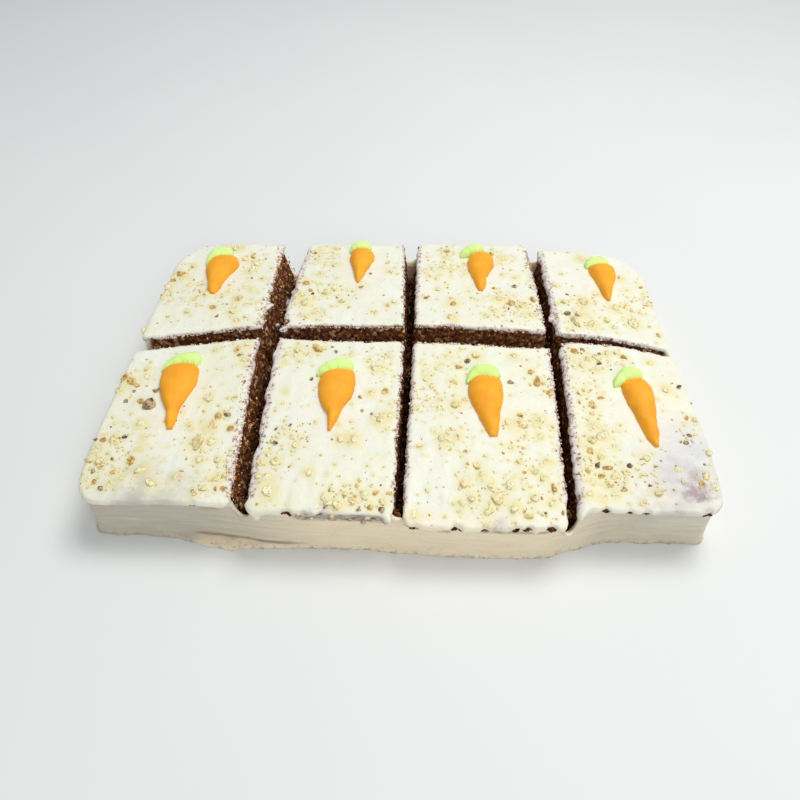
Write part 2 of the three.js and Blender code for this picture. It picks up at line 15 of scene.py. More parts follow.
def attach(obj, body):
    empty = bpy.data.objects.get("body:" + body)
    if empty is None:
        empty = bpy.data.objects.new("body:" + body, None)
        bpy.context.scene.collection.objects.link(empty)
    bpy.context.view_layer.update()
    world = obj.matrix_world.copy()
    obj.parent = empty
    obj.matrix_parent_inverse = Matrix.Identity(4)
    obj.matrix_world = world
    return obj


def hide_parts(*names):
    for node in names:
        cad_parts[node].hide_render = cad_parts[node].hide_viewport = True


MM = 0.001

# The cake's own form, as the solids have it
HALF_DEPTH = 121.0
EDGE_HEIGHT = 37.5
HALF_WIDTH = 170.5
CROWN = 5.0
CORNER_DROOP = 3.0
SAG_DEPTH = 30.0
FRONT_SAG = (1, 0, 3.5, 1)
FRONT_CORNER_RADIUS = 14.0
BACK_CORNER_RADIUS = 30.0
LEFT_EDGE = {"y": (-121, -85, 0, 121), "x": (-169, -170.5, -168, -163)}
RIGHT_EDGE = {"y": (-121, -60, 30, 121), "x": (169, 170.5, 167.5, 163)}
# How far the front and back lie in from the half depth, by column, at the lip and at the foot.
# The foot's front corners are sharper than the lip's.
LIP = {"front": (8.5, 4, 0, 11), "back": (6, 3.5, 0, 5.5), "blend": 10, "corner": FRONT_CORNER_RADIUS}
FOOT = {"front": (10, 5, 2, 14), "back": (6.5, 4, 1, 6), "blend": 50, "corner": 7}
SMEAR = {"x": -96, "reach": 6.5, "spread": 20}

# The cuts: their middle line and their width at the top, along the direction they run in
KERF_WIDTH = 0.6
COLUMN_CUTS = (
    {"run": (-130, 14, 130), "middle": (-81.5, -84.5, -80), "width": (10.5, 13, 20)},
    {"run": (-130, 14, 130), "middle": (-0.5, 3, 2.5), "width": (5.5, 7, 11)},
    {"run": (-130, 14, 130), "middle": (89.5, 94, 90), "width": (7.5, 8, 10.5)},
)
ROW_CUT = {
    "run": (-178, -130, -90, -50, 50, 88, 102, 130, 178),
    "middle": (2, 10, 15, 15, 15, 14.5, 16.5, 15, 5),
    "width": (13, 11, 12, 16, 17, 16, 8, 7, 7),
}
CUTS = (*COLUMN_CUTS, ROW_CUT)
# How far the knife dragged crumb over the icing on the two sides of each cut, the lower coordinate first
DRAG = ((1.2, 2.8), (0.8, 1.3), (1.4, 1.9), (0.3, 0.3))
# How far loose crumbs lie over the icing beside each cut
STREWN = ((4.5, 2.6), (1.8, 2.2), (3.8, 2.4), (0.8, 0.8))
# Height of the wall left standing where a cut runs out through it
FRONT_NOTCHES = (28, 30, 24)
BACK_NOTCHES = (11, 23, 24)
LEFT_NOTCH = 19

SLICES = [(row, column) for row in ("front", "back") for column in (1, 2, 3, 4)]

# Each slice's decoration: the carrot's crown and tip, its width and its bend to the right at each station,
# and three points of the leaf from the crown
DECORATIONS = {
    "front_1": {
        "crown": (-132.5, -14),
        "tip": (-128.5, -66),
        "widths": (14, 20, 22, 22, 18.4, 12.8, 7, 5.6, 3.2),
        "bends": (0, -0.8, -0.8, -1, -1.2, -1, -0.5, -0.3, 0),
        "leaf": ((-12, -6.5), (-1.5, 0.5), (9.5, 2.5)),
    },
    "front_2": {
        "crown": (-37.8, -19.5),
        "tip": (-39.8, -65.5),
        "widths": (15, 19.5, 21.2, 21.2, 18.8, 13.4, 6.6, 4.6, 1.2),
        "bends": (0, 0, 0, 0, -0.3, -0.2, 1, 0.8, 0),
        "leaf": ((-13, -5.5), (-3, 0.5), (8, 2)),
    },
    "front_3": {
        "crown": (49, -22.5),
        "tip": (50.5, -67),
        "widths": (15, 18, 20, 20, 17.6, 14.2, 10.6, 7.6, 4.4),
        "bends": (0, -0.3, -1, -1.4, -1.3, -1, -0.5, 0.2, 0.3),
        "leaf": ((-11.5, -5.5), (-2.5, 2.5), (7, -0.5)),
    },
    "front_4": {
        "crown": (136, -19.5),
        "tip": (140.2, -69),
        "widths": (11, 15, 17.4, 16.6, 13.6, 11.1, 9.4, 6.8, 2),
        "bends": (0, 0.2, 0.2, 0, 0.3, 0, -0.3, -0.4, 0),
        "leaf": ((-12, -6.5), (-3, 2), (5, 1)),
    },
    "back_1": {
        "crown": (-126.3, 94.5),
        "tip": (-129.7, 53.5),
        "widths": (11, 17, 21, 21, 17.5, 12.6, 10, 8.5, 3.5),
        "bends": (0, -0.2, -1, -2, -2.4, -2, -1.2, -0.5, 0),
        "leaf": ((-14, -9), (-8, 0.5), (2, 2.5)),
    },
    "back_2": {
        "crown": (-32.5, 106.5),
        "tip": (-33, 67),
        "widths": (9.5, 14, 16.8, 17, 14.5, 10.5, 7.5, 5, 1.5),
        "bends": (0.3, 0.3, 0.5, 0.6, 0.6, 0.5, 0.3, 0, 0),
        "leaf": ((-8.5, -3), (-2, 1), (6, 1)),
    },
    "back_3": {
        "crown": (53, 105),
        "tip": (50, 62),
        "widths": (10, 15, 18, 18.3, 15.5, 11, 8.3, 6.3, 3),
        "bends": (0, 0, -0.3, -0.8, -1.3, -1, -0.5, 0, 0),
        "leaf": ((-15, -4.5), (-7.5, 2), (1, 2.5)),
    },
    "back_4": {
        "crown": (136, 96),
        "tip": (135.2, 56),
        "widths": (13, 17, 18.8, 17.5, 14, 10.5, 8, 6, 2),
        "bends": (0, 0, 0.1, 0.3, 0.2, 0, -0.2, -0.3, 0),
        "leaf": ((-10.5, -4.5), (-3.5, 0.8), (5.5, 0)),
    },
}
CARROT_PROFILE = {
    "along": (0, 0.06, 0.18, 0.32, 0.46, 0.6, 0.74, 0.88, 1),
    "height": (2.2, 4, 6, 6.2, 5.8, 5, 4.2, 3.4, 1.2),
}
LEAF_PROFILE = {
    "along": (0, 0.13, 0.36, 0.66, 0.88, 1),
    "half": (0.5, 2.9, 5.1, 5.8, 5.2, 2.6),
    "height": (1.2, 3.8, 5.8, 6.2, 5.4, 2.6),
}

# Walnuts that stand out: x, y and radius, by what they look like
NUTS = {
    "coated": (
        (-104, -73, 2.4), (-165, -80, 2.6), (-136, -94, 3.2), (-130, -101, 2.4), (-141, -80, 2),
        (-108, -86, 2.2), (-112, -43, 2.2), (-97, -11, 2), (-146, -63, 2.6), (-116, -2, 1.6),
        (-118, -98, 1.8), (-97, -86, 1.8), (-119, -62, 1.8), (-141, -72, 1.8), (-154.5, -18, 1.6),
        (-18, -37, 2.2), (-16, -16.5, 2.4), (-6, -53, 2.2), (-13, -59, 2), (-32, -71.5, 2.6),
        (-27, -71.5, 3.2), (-70, -98.5, 3), (-67, -106, 3), (-48, -94, 2), (-18, -107, 2.2),
        (-35, -112, 2.2), (-57, -76, 1.8), (-71, -82, 1.8), (-66, -8, 1.8), (-38, -109, 1.8),
        (59, -57, 2), (77, -54, 3), (76.5, -65, 2.2), (24, -70, 3), (31, -68, 2), (43, -92, 2.2),
        (38, -105, 2.4), (58, -98, 2), (48, -99, 2), (70, -104, 2), (60, -110, 2.6), (32, -108, 2),
        (8, -115, 2.2), (60, -74, 1.8), (26, -6, 1.8), (14, -24, 1.8), (8, -47, 1.8), (22, -41, 1.6),
        (78, -107, 1.8), (116, -12, 2), (108, -56, 3), (112, -63, 3.2), (117, -70, 2), (101, -94, 2.2),
        (112, -101, 2.2), (105, -104, 2), (155, -25, 2.2), (108, -8, 2.2), (118, -1, 2.2), (131, 3, 1.8),
        (103, -3, 1.8), (104, -32, 1.8), (-108, 79, 2.8), (-104, 58, 2), (-133, 54, 2.8), (-141, 48, 2),
        (-118, 55, 2), (-150, 86, 2), (-148, 64, 1.8), (-108, 25, 2), (-105, 88, 1.8), (-98, 70, 1.8),
        (-67, 44.5, 3.4), (-42, 47, 2), (-60, 77, 2.4), (-48, 60, 1.8), (-63, 30, 1.8), (-8, 46, 1.8),
        (-50, 88, 1.8), (-12, 80, 1.8), (-20, 35, 1.6), (62, 53, 3), (58, 40, 2), (80, 37, 2),
        (25, 87, 2.4), (33, 88, 2), (67.5, 101, 3), (52, 35, 1.8), (27, 100, 1.8), (21, 62, 1.6),
        (75, 78, 1.8), (148, 33.5, 3.4), (124, 104.5, 3), (104, 52, 2), (148, 82, 2.2), (130, 35, 1.8),
        (128, 62, 1.8), (134, 29, 1.6), (155, 45, 1.8), (101, 70, 1.8),
    ),
    "pale": (
        (-166, -36, 2.2), (-153, -24, 1.8), (-106, -64.5, 3.2), (-112, -75, 3.6), (-167, -87, 2),
        (-161, -88, 2.6), (-157.5, -74, 2.4), (-152, -103, 1.8), (-147, -100, 1.6), (-98, -98, 2.6),
        (-93.5, -96.5, 2.2), (-102, -104, 2), (-106, -108, 1.8), (-97, 2.5, 2.2), (-65.5, -2.5, 2.4),
        (-71, -14, 1.8), (-67.5, -37, 1.8), (-10, -55, 3.4), (-67, -87, 3), (-74, -88.5, 2.4),
        (-74, -96, 2), (-60, -70, 1.4), (-30, -113, 2.4), (-24, -110, 2.6), (-8, -110, 2),
        (-28, -106, 1.6), (43.5, -4, 2.6), (30, -27, 2.2), (67, -2, 2), (31, -44, 2.6), (36, -41, 1.6),
        (65, -58, 3.6), (84, -59, 2), (64, -83.5, 1.8), (71, -89, 2.2), (79, -83, 2.6), (41, -86, 1.8),
        (11, -75, 1.6), (34, -97, 2.4), (52, -105, 3.4), (46, -112, 2.6), (76, -93, 2), (66, -114, 2),
        (112, -3, 2.8), (125, 3, 2), (150, -3, 1.8), (108, -47, 2), (105, -66, 2.8), (108, -78, 2.6),
        (100, -86, 2.2), (114, -91, 2.2), (109, -96, 2.4), (99, -102, 2), (120, -87, 2),
        (132.5, -77, 2.5), (134, -98.5, 2.4), (148, -83.5, 2), (166, -48, 2), (167, -72, 2.2),
        (162, -88, 2.2), (-154, 72, 2.8), (-162, 62, 2.8), (-113, 93, 2.8), (-123, 106, 3),
        (-110.5, 46.5, 2.8), (-112, 34, 2.2), (-143, 35, 1.6), (-167, 19, 2.2), (-58.5, 34, 2.6),
        (-70, 52, 2.6), (-53, 55, 2.6), (-65, 106, 2), (-53, 110, 1.8), (-12, 43, 1.8), (30, 31, 2.6),
        (77, 47, 2.8), (15, 76, 1.8), (28, 110, 2.4), (117, 53, 3.2), (114.5, 39, 3.4),
        (109.5, 31.5, 3.4), (120, 29.5, 3), (138, 48, 2.6), (146, 50, 2.2), (162, 55, 2),
    ),
    "tan": (
        (-165, -27, 2.6), (-161, -30.5, 2.8), (-157, -32, 2), (-151, -45, 2), (-103.5, -56.5, 2.4),
        (-144, -89, 2.3), (-151.5, -95.5, 2), (-164, -74, 2.2), (-160, -101, 2), (-95, -104, 1.8),
        (-91, -104, 1.6), (-94, -64, 2.2), (-102.5, -1, 2.2), (-101, -6, 1.8), (-53, -1.5, 3),
        (-10, -35, 2), (-14, -113, 2.2), (-12, -105, 2), (-5, -105, 1.8), (33, -14, 2.2),
        (75.5, -15.5, 1.8), (79, -24, 2.4), (86, -33, 2), (66.5, -51, 1.9), (36, -85.5, 1.3),
        (66, -90.5, 1.7), (81, -99, 2.4), (104.5, 4, 2.6), (135, -1, 2), (115.5, -34, 2.2),
        (110, -40, 2.4), (122, -55, 1.6), (103, -75, 2.6), (111, -84, 2.2), (106, -90, 2.4),
        (117, -97, 2.2), (162, -47, 1.6), (159, -93, 2), (-157.5, 77, 3), (-160, 70, 2),
        (-164.5, 53, 2.2), (-109.5, 97, 2), (-126, 39, 2.4), (-68.5, 66.5, 2.2), (-30.5, 62.5, 1.8),
        (-64, 58, 1.8), (31, 45.5, 3.4), (13, 52, 1.7), (70, 48, 1.8), (60, 107, 2.2), (84, 53, 2),
        (149, 68, 2.3), (160, 73, 1.5), (162, 24, 1.8),
    ),
    "skin": (
        (-144, -50, 3.4), (-144.5, -36, 1.8), (-157.5, -36.5, 1.7), (-159, -45, 1.2), (-98.5, -54.5, 1.6),
        (-154.5, -87, 1.2), (-162.5, -94.5, 1.6), (-152, -72, 1.5), (-155, -104.5, 1.4), (-93, -30, 1.8),
        (-44, 1, 1.2), (-41, -3.5, 1.3), (-24.3, -40, 1.4), (-22.5, -50, 1.2), (-17, -52, 1.2),
        (-53.5, -27, 1), (-62, -62, 1.2), (-68, -74, 1.3), (-20, -114.5, 1.5), (-9, -114.5, 1.8),
        (38.5, -9.5, 1.8), (63.5, -25.5, 1.7), (110, 6, 1.8), (119, -6.5, 1.4), (105.5, -82.5, 1.7),
        (123, -83, 1.8), (130, -79, 1.3), (131, -95, 1), (160, -60, 1.5), (157, -65, 1.2),
        (163, -22, 1.4), (-106.5, 70.5, 1.3), (-122, 30, 1.3), (-25, 77, 1.3), (73, 67, 1.9),
        (67, 43, 1.2), (105, 40, 1.8), (108, 60, 1.6),
    ),
}
# Patches where the smaller bits lie thickest: x, y and spread
NUT_PATCHES = (
    (-158, -90, 10), (-150, -75, 9), (-163, -30, 6), (-100, -100, 11), (-135, -98, 9), (-98, 0, 7),
    (-105, -60, 8), (-68, -95, 7), (-30, -110, 8), (-12, -109, 8), (-10, -55, 5), (-63, -70, 8),
    (-66, -5, 7), (-15, -12, 8), (45, -106, 11), (75, -93, 11), (30, -12, 9), (72, -60, 9), (80, -20, 8),
    (15, -45, 8), (25, -70, 7), (105, -80, 9), (112, -94, 8), (108, -62, 7), (110, -2, 8), (130, -2, 6),
    (132, -82, 6), (165, -60, 7), (112, -28, 9), (165, -90, 6), (-157, 75, 7), (-105, 45, 10),
    (-112, 88, 9), (-135, 58, 8), (-128, 107, 5), (-162, 55, 6), (-66, 48, 8), (-50, 60, 8),
    (-60, 100, 9), (-58, 33, 6), (65, 50, 10), (35, 100, 8), (25, 80, 9), (67, 100, 6), (80, 40, 7),
    (113, 35, 8), (117, 52, 7), (145, 45, 9), (128, 105, 5), (160, 60, 6),
)

# Places where the front lip is torn and the sponge shows under it: x, y and half the width
TEARS = (
    (-107, -112, 1.8),
    (-57.4, -117, 2.6),
    (-48.7, -118, 2.2),
    (-39.6, -118, 2),
    (-6.3, -119, 2),
    (8.6, -121, 2.2),
    (29.7, -121, 3),
    (43.7, -121.2, 2),
    (60.5, -121, 2),
    (66.5, -121.4, 2.6),
    (78, -121, 3.2),
    (106.5, -110.2, 2.4),
    (119, -110, 1.6),
    (127.5, -110, 2.2),
    (159, -108.5, 2.6),
)
# Bites torn out of the edges of the icing: x, y and radius
BITES = tuple((x, y - 1, half + 0.6) for x, y, half in TEARS) + (
    (-90.5, 41, 4.2),
    (-79, 25, 5.5),
    (-76, 60, 3),
    (-98, -52, 3),
    (96, 38, 3),
)
# Torn scraps of icing: place and reach along x, y and z
FLAPS = (
    (-94.5, 36.5, 37, 2.6, 3, 1.3),
    (-93, 32.5, 34.5, 2.2, 2.6, 1.4),
    (-92, 29, 31.5, 1.9, 2, 1.7),
    (-91.5, 27, 28.5, 1.6, 1.5, 1.6),
    (-85, 37, 27, 2, 2, 1.4),
    (-84.5, 75, 14, 1.8, 4.5, 3.6),
    (-73.5, -115.2, 35, 3, 3, 2),
    (-72.5, -117.2, 32, 2.4, 2, 2.2),
    (-5.5, -118.2, 34, 2, 2, 3),
)
# Heaps of crumb at the ends and the crossing of the cuts: x, y, z, spread and count
CRUMB_HEAPS = (
    (-81.3, -105, 26, 2, 16),
    (-0.5, -110, 27, 1.2, 6),
    (88.5, -105.5, 26, 2, 12),
    (-161, 5, 19, 2.6, 10),
    (157, 9.7, 34, 2, 10),
    (-88, 30, 14, 4, 16),
    (-84, 48, 12, 4, 12),
    (93, 22, 12, 3, 8),
)


# Numbers and forms shared by every piece


def smoothstep(value, low, high):
    share = np.clip((np.asarray(value, float) - low) / (high - low), 0, 1)
    return share * share * (3 - 2 * share)


def window(value, rise, fall):
    """1 between a rise and a fall and 0 outside them. Each is given by where it starts and ends."""
    return smoothstep(value, *rise) * (1 - smoothstep(value, *fall))


# Large odd factors that mix a place's whole numbers into one well spread number
MIXERS = (73856093, 19349663, 83492791, 2654435761, 1274126177)


def noise(points, size, seed=0):
    """Smooth noise from -1 to 1 with lumps of about that size. The size may differ by axis."""
    scaled = np.asarray(points, float) / size
    cell = np.floor(scaled).astype(np.int64)
    part = scaled - cell
    part = part * part * (3 - 2 * part)
    total = np.zeros(len(cell))
    for corner in np.ndindex(2, 2, 2):
        weight = np.prod(np.where(corner, part, 1 - part), axis=1)
        x, y, z = ((cell + np.array(corner)) * MIXERS[:3]).T
        mixed = x ^ y ^ z ^ (seed * MIXERS[3])
        mixed = (mixed ^ (mixed >> 13)) * MIXERS[4]
        mixed = mixed ^ (mixed >> 16)
        total += weight * ((mixed & 0xFFFF) / 32767.5 - 1)
    return total


def rough(points, size, seed=0, octaves=3):
    """Noise with finer and finer lumps on it."""
    size = np.asarray(size, float)
    return sum(noise(points, size / 2**k, seed + k) / 2**k for k in range(octaves))


def relief(points, layers):
    """Layers of noise on top of each other, each (amount, size, seed, octaves)."""
    return sum(amount * rough(points, size, seed, octaves) for amount, size, seed, octaves in layers)


def by_column(x, amounts, blend):
    """The columns' own amounts at x, eased from one to the next across the cuts."""
    total = np.full(np.shape(x), float(amounts[0]))
    for index, cut in enumerate(COLUMN_CUTS):
        middle = cut["middle"][1]
        total += (amounts[index + 1] - amounts[index]) * smoothstep(x, middle - blend / 2, middle + blend / 2)
    return total


def crown_at(x, y):
    """Height of the icing's top over the board."""
    out_x = np.clip(np.abs(x) / HALF_WIDTH, 0, 1)
    out_y = np.clip(np.abs(y) / HALF_DEPTH, 0, 1)
    waves = 0.45 * np.sin(x / 17 + y / 41) + 0.35 * np.sin(y / 13 - x / 29 + 1)
    sag = by_column(x, FRONT_SAG, LIP["blend"]) * smoothstep(-y, HALF_DEPTH - SAG_DEPTH, HALF_DEPTH)
    crown = CROWN * (1 - out_x**2) * (1 - out_y**2)
    return EDGE_HEIGHT + crown + waves - sag - CORNER_DROOP * (out_x * out_y) ** 5


def front_of(x, edge):
    """y of the cake's front at x, at the lip or at the foot."""
    return by_column(x, edge["front"], edge["blend"]) - HALF_DEPTH


def back_of(x, edge):
    return HALF_DEPTH - by_column(x, edge["back"], edge["blend"])


def left_of(y):
    return np.interp(y, LEFT_EDGE["y"], LEFT_EDGE["x"])


def right_of(y):
    return np.interp(y, RIGHT_EDGE["y"], RIGHT_EDGE["x"])


def rounding_drop(distance, radius):
    """How far a rounded edge of that radius lies below the top, at a distance in from the edge."""
    short = np.clip(radius - distance, 0, radius)
    return radius - np.sqrt(radius**2 - short**2)


def cut_middle(cut, run):
    return np.interp(run, cut["run"], cut["middle"])


def cut_width(cut, run):
    return np.interp(run, cut["run"], cut["width"])


def cut_wall(cut, run, z, side):
    """Where a cut's wall is across its run: side -1 is the wall with the lower coordinate."""
    opening = KERF_WIDTH + (cut_width(cut, run) - KERF_WIDTH) * np.clip(z / EDGE_HEIGHT, 0, 1.1)
    return cut_middle(cut, run) + side * opening / 2


def place_across(cut, run, across):
    """x and y of places along and across a cut."""
    return (run, across) if cut is ROW_CUT else (across, run)


def outside_cut(cut, x, y, margin=0):
    """True for places that don't lie over a cut."""
    run, across = (x, y) if cut is ROW_CUT else (y, x)
    return np.abs(across - cut_middle(cut, run)) > cut_width(cut, run) / 2 + margin


def slice_sides(row, column):
    """Which of a slice's sides are cut, in the order front, right, back, left."""
    return (row == "back", column != 4, row == "front", column != 1)


# The sides depend on x and y in turn, so a point is settled in a few rounds
SETTLING_ROUNDS = 6


def slice_point(row, column, across, along, z, inset, edge):
    """x and y of points of a slice. across and along run from 0 to 1, and inset draws in the outer sides."""
    x = np.zeros(np.shape(across))
    y = np.zeros(np.shape(across))
    for _ in range(SETTLING_ROUNDS):
        front, back = front_of(x, edge) + inset, back_of(x, edge) - inset
        left, right = left_of(y) + inset, right_of(y) - inset
        if row == "back":
            front = cut_wall(ROW_CUT, x, z, 1)
        else:
            back = cut_wall(ROW_CUT, x, z, -1)
        if column > 1:
            left = cut_wall(COLUMN_CUTS[column - 2], y, z, 1)
        if column < 4:
            right = cut_wall(COLUMN_CUTS[column - 1], y, z, -1)
        x = left + (right - left) * across
        y = front + (back - front) * along
    return x, y


def slice_size(row, column):
    """Nominal width and depth of a slice at the top."""
    ends = np.array([0.0, 1.0])
    middle = np.array([0.5, 0.5])
    x, _ = slice_point(row, column, ends, middle, EDGE_HEIGHT, 0, LIP)
    _, y = slice_point(row, column, middle, ends, EDGE_HEIGHT, 0, LIP)
    return x[1] - x[0], y[1] - y[0]


CORNERS = ((False, False), (False, True), (True, False), (True, True))


def corner_radii(row, column, outer, notch, inner):
    """Radius of each corner, keyed by (right, back): the cake's own, by a notch, or by the crossing."""
    sides = slice_sides(row, column)
    by_cuts = (outer, notch, inner)
    return {
        (right, back): by_cuts[sides[1 if right else 3] + sides[2 if back else 0]]
        for right, back in CORNERS
    }


def round_corners(a, b, width, depth, radii):
    """Places on a rectangle of that width and depth, with each corner drawn in to a round one."""
    a, b = a.copy(), b.copy()
    for (right, back), radius in radii.items():
        out_a = radius - (width - a if right else a)
        out_b = radius - (depth - b if back else b)
        inside = (out_a > 0) & (out_b > 0)
        length = np.where(inside, np.hypot(out_a, out_b), 1)
        scale = np.where(inside, np.maximum(out_a, out_b) / length, 1)
        new_a = radius - out_a * scale
        new_b = radius - out_b * scale
        a = np.where(inside, width - new_a if right else new_a, a)
        b = np.where(inside, depth - new_b if back else new_b, b)
    return a, b


def outward(loop):
    """Unit normals in plan, pointing out of a closed loop that runs counterclockwise."""
    along = np.roll(loop, -1, axis=0) - np.roll(loop, 1, axis=0)
    normal = np.stack([along[:, 1], -along[:, 0]], axis=1)
    return normal / np.maximum(np.linalg.norm(normal, axis=1, keepdims=True), 1e-9)


def ring_faces(rings, sides, first=0, closed=False):
    """Quads between rings of points, each ring running counterclockwise seen from outside below to above."""
    faces = []
    for r in range(rings if closed else rings - 1):
        low = first + r * sides
        high = first + ((r + 1) % rings) * sides
        faces += [(low + s, low + (s + 1) % sides, high + (s + 1) % sides, high + s) for s in range(sides)]
    return faces


def mesh_object(name, points, faces, material=None, smooth=True):
    """A mesh object from points in millimetres."""
    mesh = bpy.data.meshes.new(name)
    mesh.from_pydata((np.asarray(points) * MM).tolist(), [], faces)
    mesh.polygons.foreach_set("use_smooth", [smooth] * len(mesh.polygons))
    mesh.update()
    made = bpy.data.objects.new(name, mesh)
    bpy.context.scene.collection.objects.link(made)
    if material:
        mesh.materials.append(material)
    return made


def points_of(made):
    """A mesh object's points in millimetres."""
    flat = np.empty(len(made.data.vertices) * 3)
    made.data.vertices.foreach_get("co", flat)
    return flat.reshape(-1, 3) / MM


def move_points(made, points):
    made.data.vertices.foreach_set("co", (points * MM).ravel())
    made.data.update()


def normals_of(made):
    flat = np.empty(len(made.data.vertices) * 3)
    made.data.vertices.foreach_get("normal", flat)
    return flat.reshape(-1, 3)


def apply_modifiers(made):
    """Turns an object's modifiers into its own mesh."""
    graph = bpy.context.evaluated_depsgraph_get()
    mesh = bpy.data.meshes.new_from_object(made.evaluated_get(graph))
    made.modifiers.clear()
    made.data = mesh


def joined(name, parts):
    """Several (points, faces) as one mesh object."""
    points, faces, first = [], [], 0
    for part_points, part_faces in parts:
        points.append(part_points)
        faces += [tuple(index + first for index in face) for face in part_faces]
        first += len(part_points)
    return mesh_object(name, np.concatenate(points), faces)


# Icing


# Side of a slice's slab of icing from its top edge down: how far out, how far down, and how ragged
CUT_FRINGE = {
    "out": (0.25, 0.4, 0.3, -0.8, -4),
    "down": (0.4, 0.9, 1.5, 1.9, 1.4),
    "ragged": (0, 0.4, 1, 1, 0),
}
LIP_PROFILE = {
    "out": (0.25, 0.3, 0, -1, -5),
    "down": (0.6, 1.3, 2.1, 2.6, 2),
    "ragged": (0.1, 0.4, 1, 1, 0),
}
# How rounded the top's edge is on a cut, on the cut at a slice's left, over the front and on the other sides
EDGE_RADIUS = {"cut": 1.1, "cut_left": 2.4, "front": 1.5, "outside": 3.2}
# Layers of relief: amount, size of its lumps (or its size along x, y and z), seed and octaves
CUT_FRAY = ((0.9, 4.8, 2, 3), (0.45, 1.8, 5, 1))
OUTER_FRAY = ((0.6, 16, 6, 1), (0.3, 6, 7, 1))
LIP_HANG = ((0.7, 5, 3, 3), (0.4, 1.8, 4, 1))
WALL_HOLLOWS = ((0.8, (34, 34, 16), 21, 1), (0.35, (15, 15, 5), 22, 1))
RAGGED_FOOT = ((0.8, 9, 23, 3),)
KNIFE_STROKES = ((0.3, (26, 10, 20), 31, 3), (0.2, (3.4, 12, 10), 32, 1))
TOP_LUMPS = ((0.22, 6, 36, 1), (0.1, 2.2, 35, 1))
WALL_STREAKS = ((0.16, (34, 34, 3.6), 33, 3), (0.16, 7, 34, 3))
TORN_RELIEF = ((1.3, 2.6, 37, 1),)
UNDER_LIP_PATCHES = ((1, (11, 11, 5), 38, 1), (0.4, 2.5, 39, 1))
FINE_LINES = (0, 0.4, 0.9, 1.6, 2.5, 3.6, 5, 7)
GRID_STEP = 1.3
EDGE_REACH = 5
WALL_PROFILE = {
    "height": (0, 0.03, 0.06, 0.09, 0.2, 0.35, 0.5, 0.65, 0.78, 0.88, 0.95, 1, 1.01, 1, 0.93, 0.5, 0),
    "inset": (0.4, 0.5, 0.9, 1.6, 2, 2.2, 2.2, 2.2, 2, 1.6, 1.1, 1.1, 2, 3.2, 4.4, 6.3, 6.3),
    "lip": (0, 0, 0, 0, 0, 0, 0, 0.1, 0.35, 0.7, 0.9, 1, 1, 1, 0.85, 0, 0),
    "smear": (1, 1, 0.75, 0, 0, 0, 0, 0, 0, 0, 0, 0, 0, 0, 0, 0, 0),
}
WALL_DROP = 1.5
# How far the lip stands out over the wall, by column
OVERHANG = (1.2, 0.2, 1.6, 1.5)
# How unevenly the front lip hangs, by column
RAGGED_LIP = (0.8, 1.2, 2.6, 1.2)
# How far the icing was dragged into the cut on each slice's left, by column
FRINGE = (0, 1.9, 0.7, 1.6)
# How plainly brown cake and painted shadow show on the wall right under the front lip, by column
UNDER_LIP_BROWN_AND_SHADE = (0.55, 0.35, 0.85, 0.65)
UNDER_LIP_STRIP_DEPTH = 7.3
# Where along the front the lip is torn, and where the foot is smeared: the rise and the fall of each
TORN_SPAN = ((-57, -50), (-8, -3))
SMEAR_SPAN = ((-115, -106), (-62, -45))
# Height of the dark line of painted shade in the fold over the smear at the front foot
CREASE_SHADE_HEIGHT = 3.9
# How much painted shade darkens the front wall at places along x, most at both ends
WALL_SHADE_BY_X = ((-110, -80, -40, 70, 95, 110), (1, 0.7, 0.05, 0.1, 0.35, 0.75))
# How high the icing rises round a nut, as a share of its radius, and how much the nut tints it
MOUNDS = {"coated": (0.2, 1), "pale": (0.12, 0.9), "tan": (0.1, 0.7), "skin": (0.08, 0.1)}
WALL_STATIONS = {"long": 170, "short": 120}
# The skin is thin over the sponge, so its dents are shallow
DEEPEST_DENT = 0.6
VOXEL = 0.8
ICING_TRIANGLES = 190000


def fine_edge_lines(length):
    """Positions from 0 to length, close together at both ends."""
    near = np.array(FINE_LINES)
    inner = np.linspace(near[-1], length - near[-1], max(3, round((length - 2 * near[-1]) / GRID_STEP)))
    return np.concatenate([near[:-1], inner, (length - near[:-1])[::-1]])


def torn(points):
    """Moves points out of the bites that are torn from the edges."""
    for x, y, radius in BITES:
        away = points[:, :2] - (x, y)
        distance = np.maximum(np.linalg.norm(away, axis=1), 1e-6)
        inside = distance < radius
        points[inside, :2] = (x, y) + (away / distance[:, None] * radius)[inside]
    return points


def ragged_edges(a, b, width, depth, cuts, seed, fringe):
    """Draws the sides of a slab in and out a little, unevenly, and the left one out into its cut."""
    shift_a, shift_b = np.zeros(len(a)), np.zeros(len(b))
    for side, cut in enumerate(cuts):
        distance = (b, width - a, depth - b, a)[side]
        run = (a, b, a, b)[side]
        spots = np.column_stack([run, np.full(len(run), 30.0 * side), np.full(len(run), 17.0 * seed)])
        inward = relief(spots, CUT_FRAY) + 0.1 if cut else relief(spots, OUTER_FRAY)
        if cut and side == 3:
            inward = inward - fringe
        inward = inward * np.clip(1 - distance / EDGE_REACH, 0, 1) ** 2
        if side in (0, 2):
            shift_b += inward if side == 0 else -inward
        else:
            shift_a += inward if side == 3 else -inward
    return a + shift_a, b + shift_b


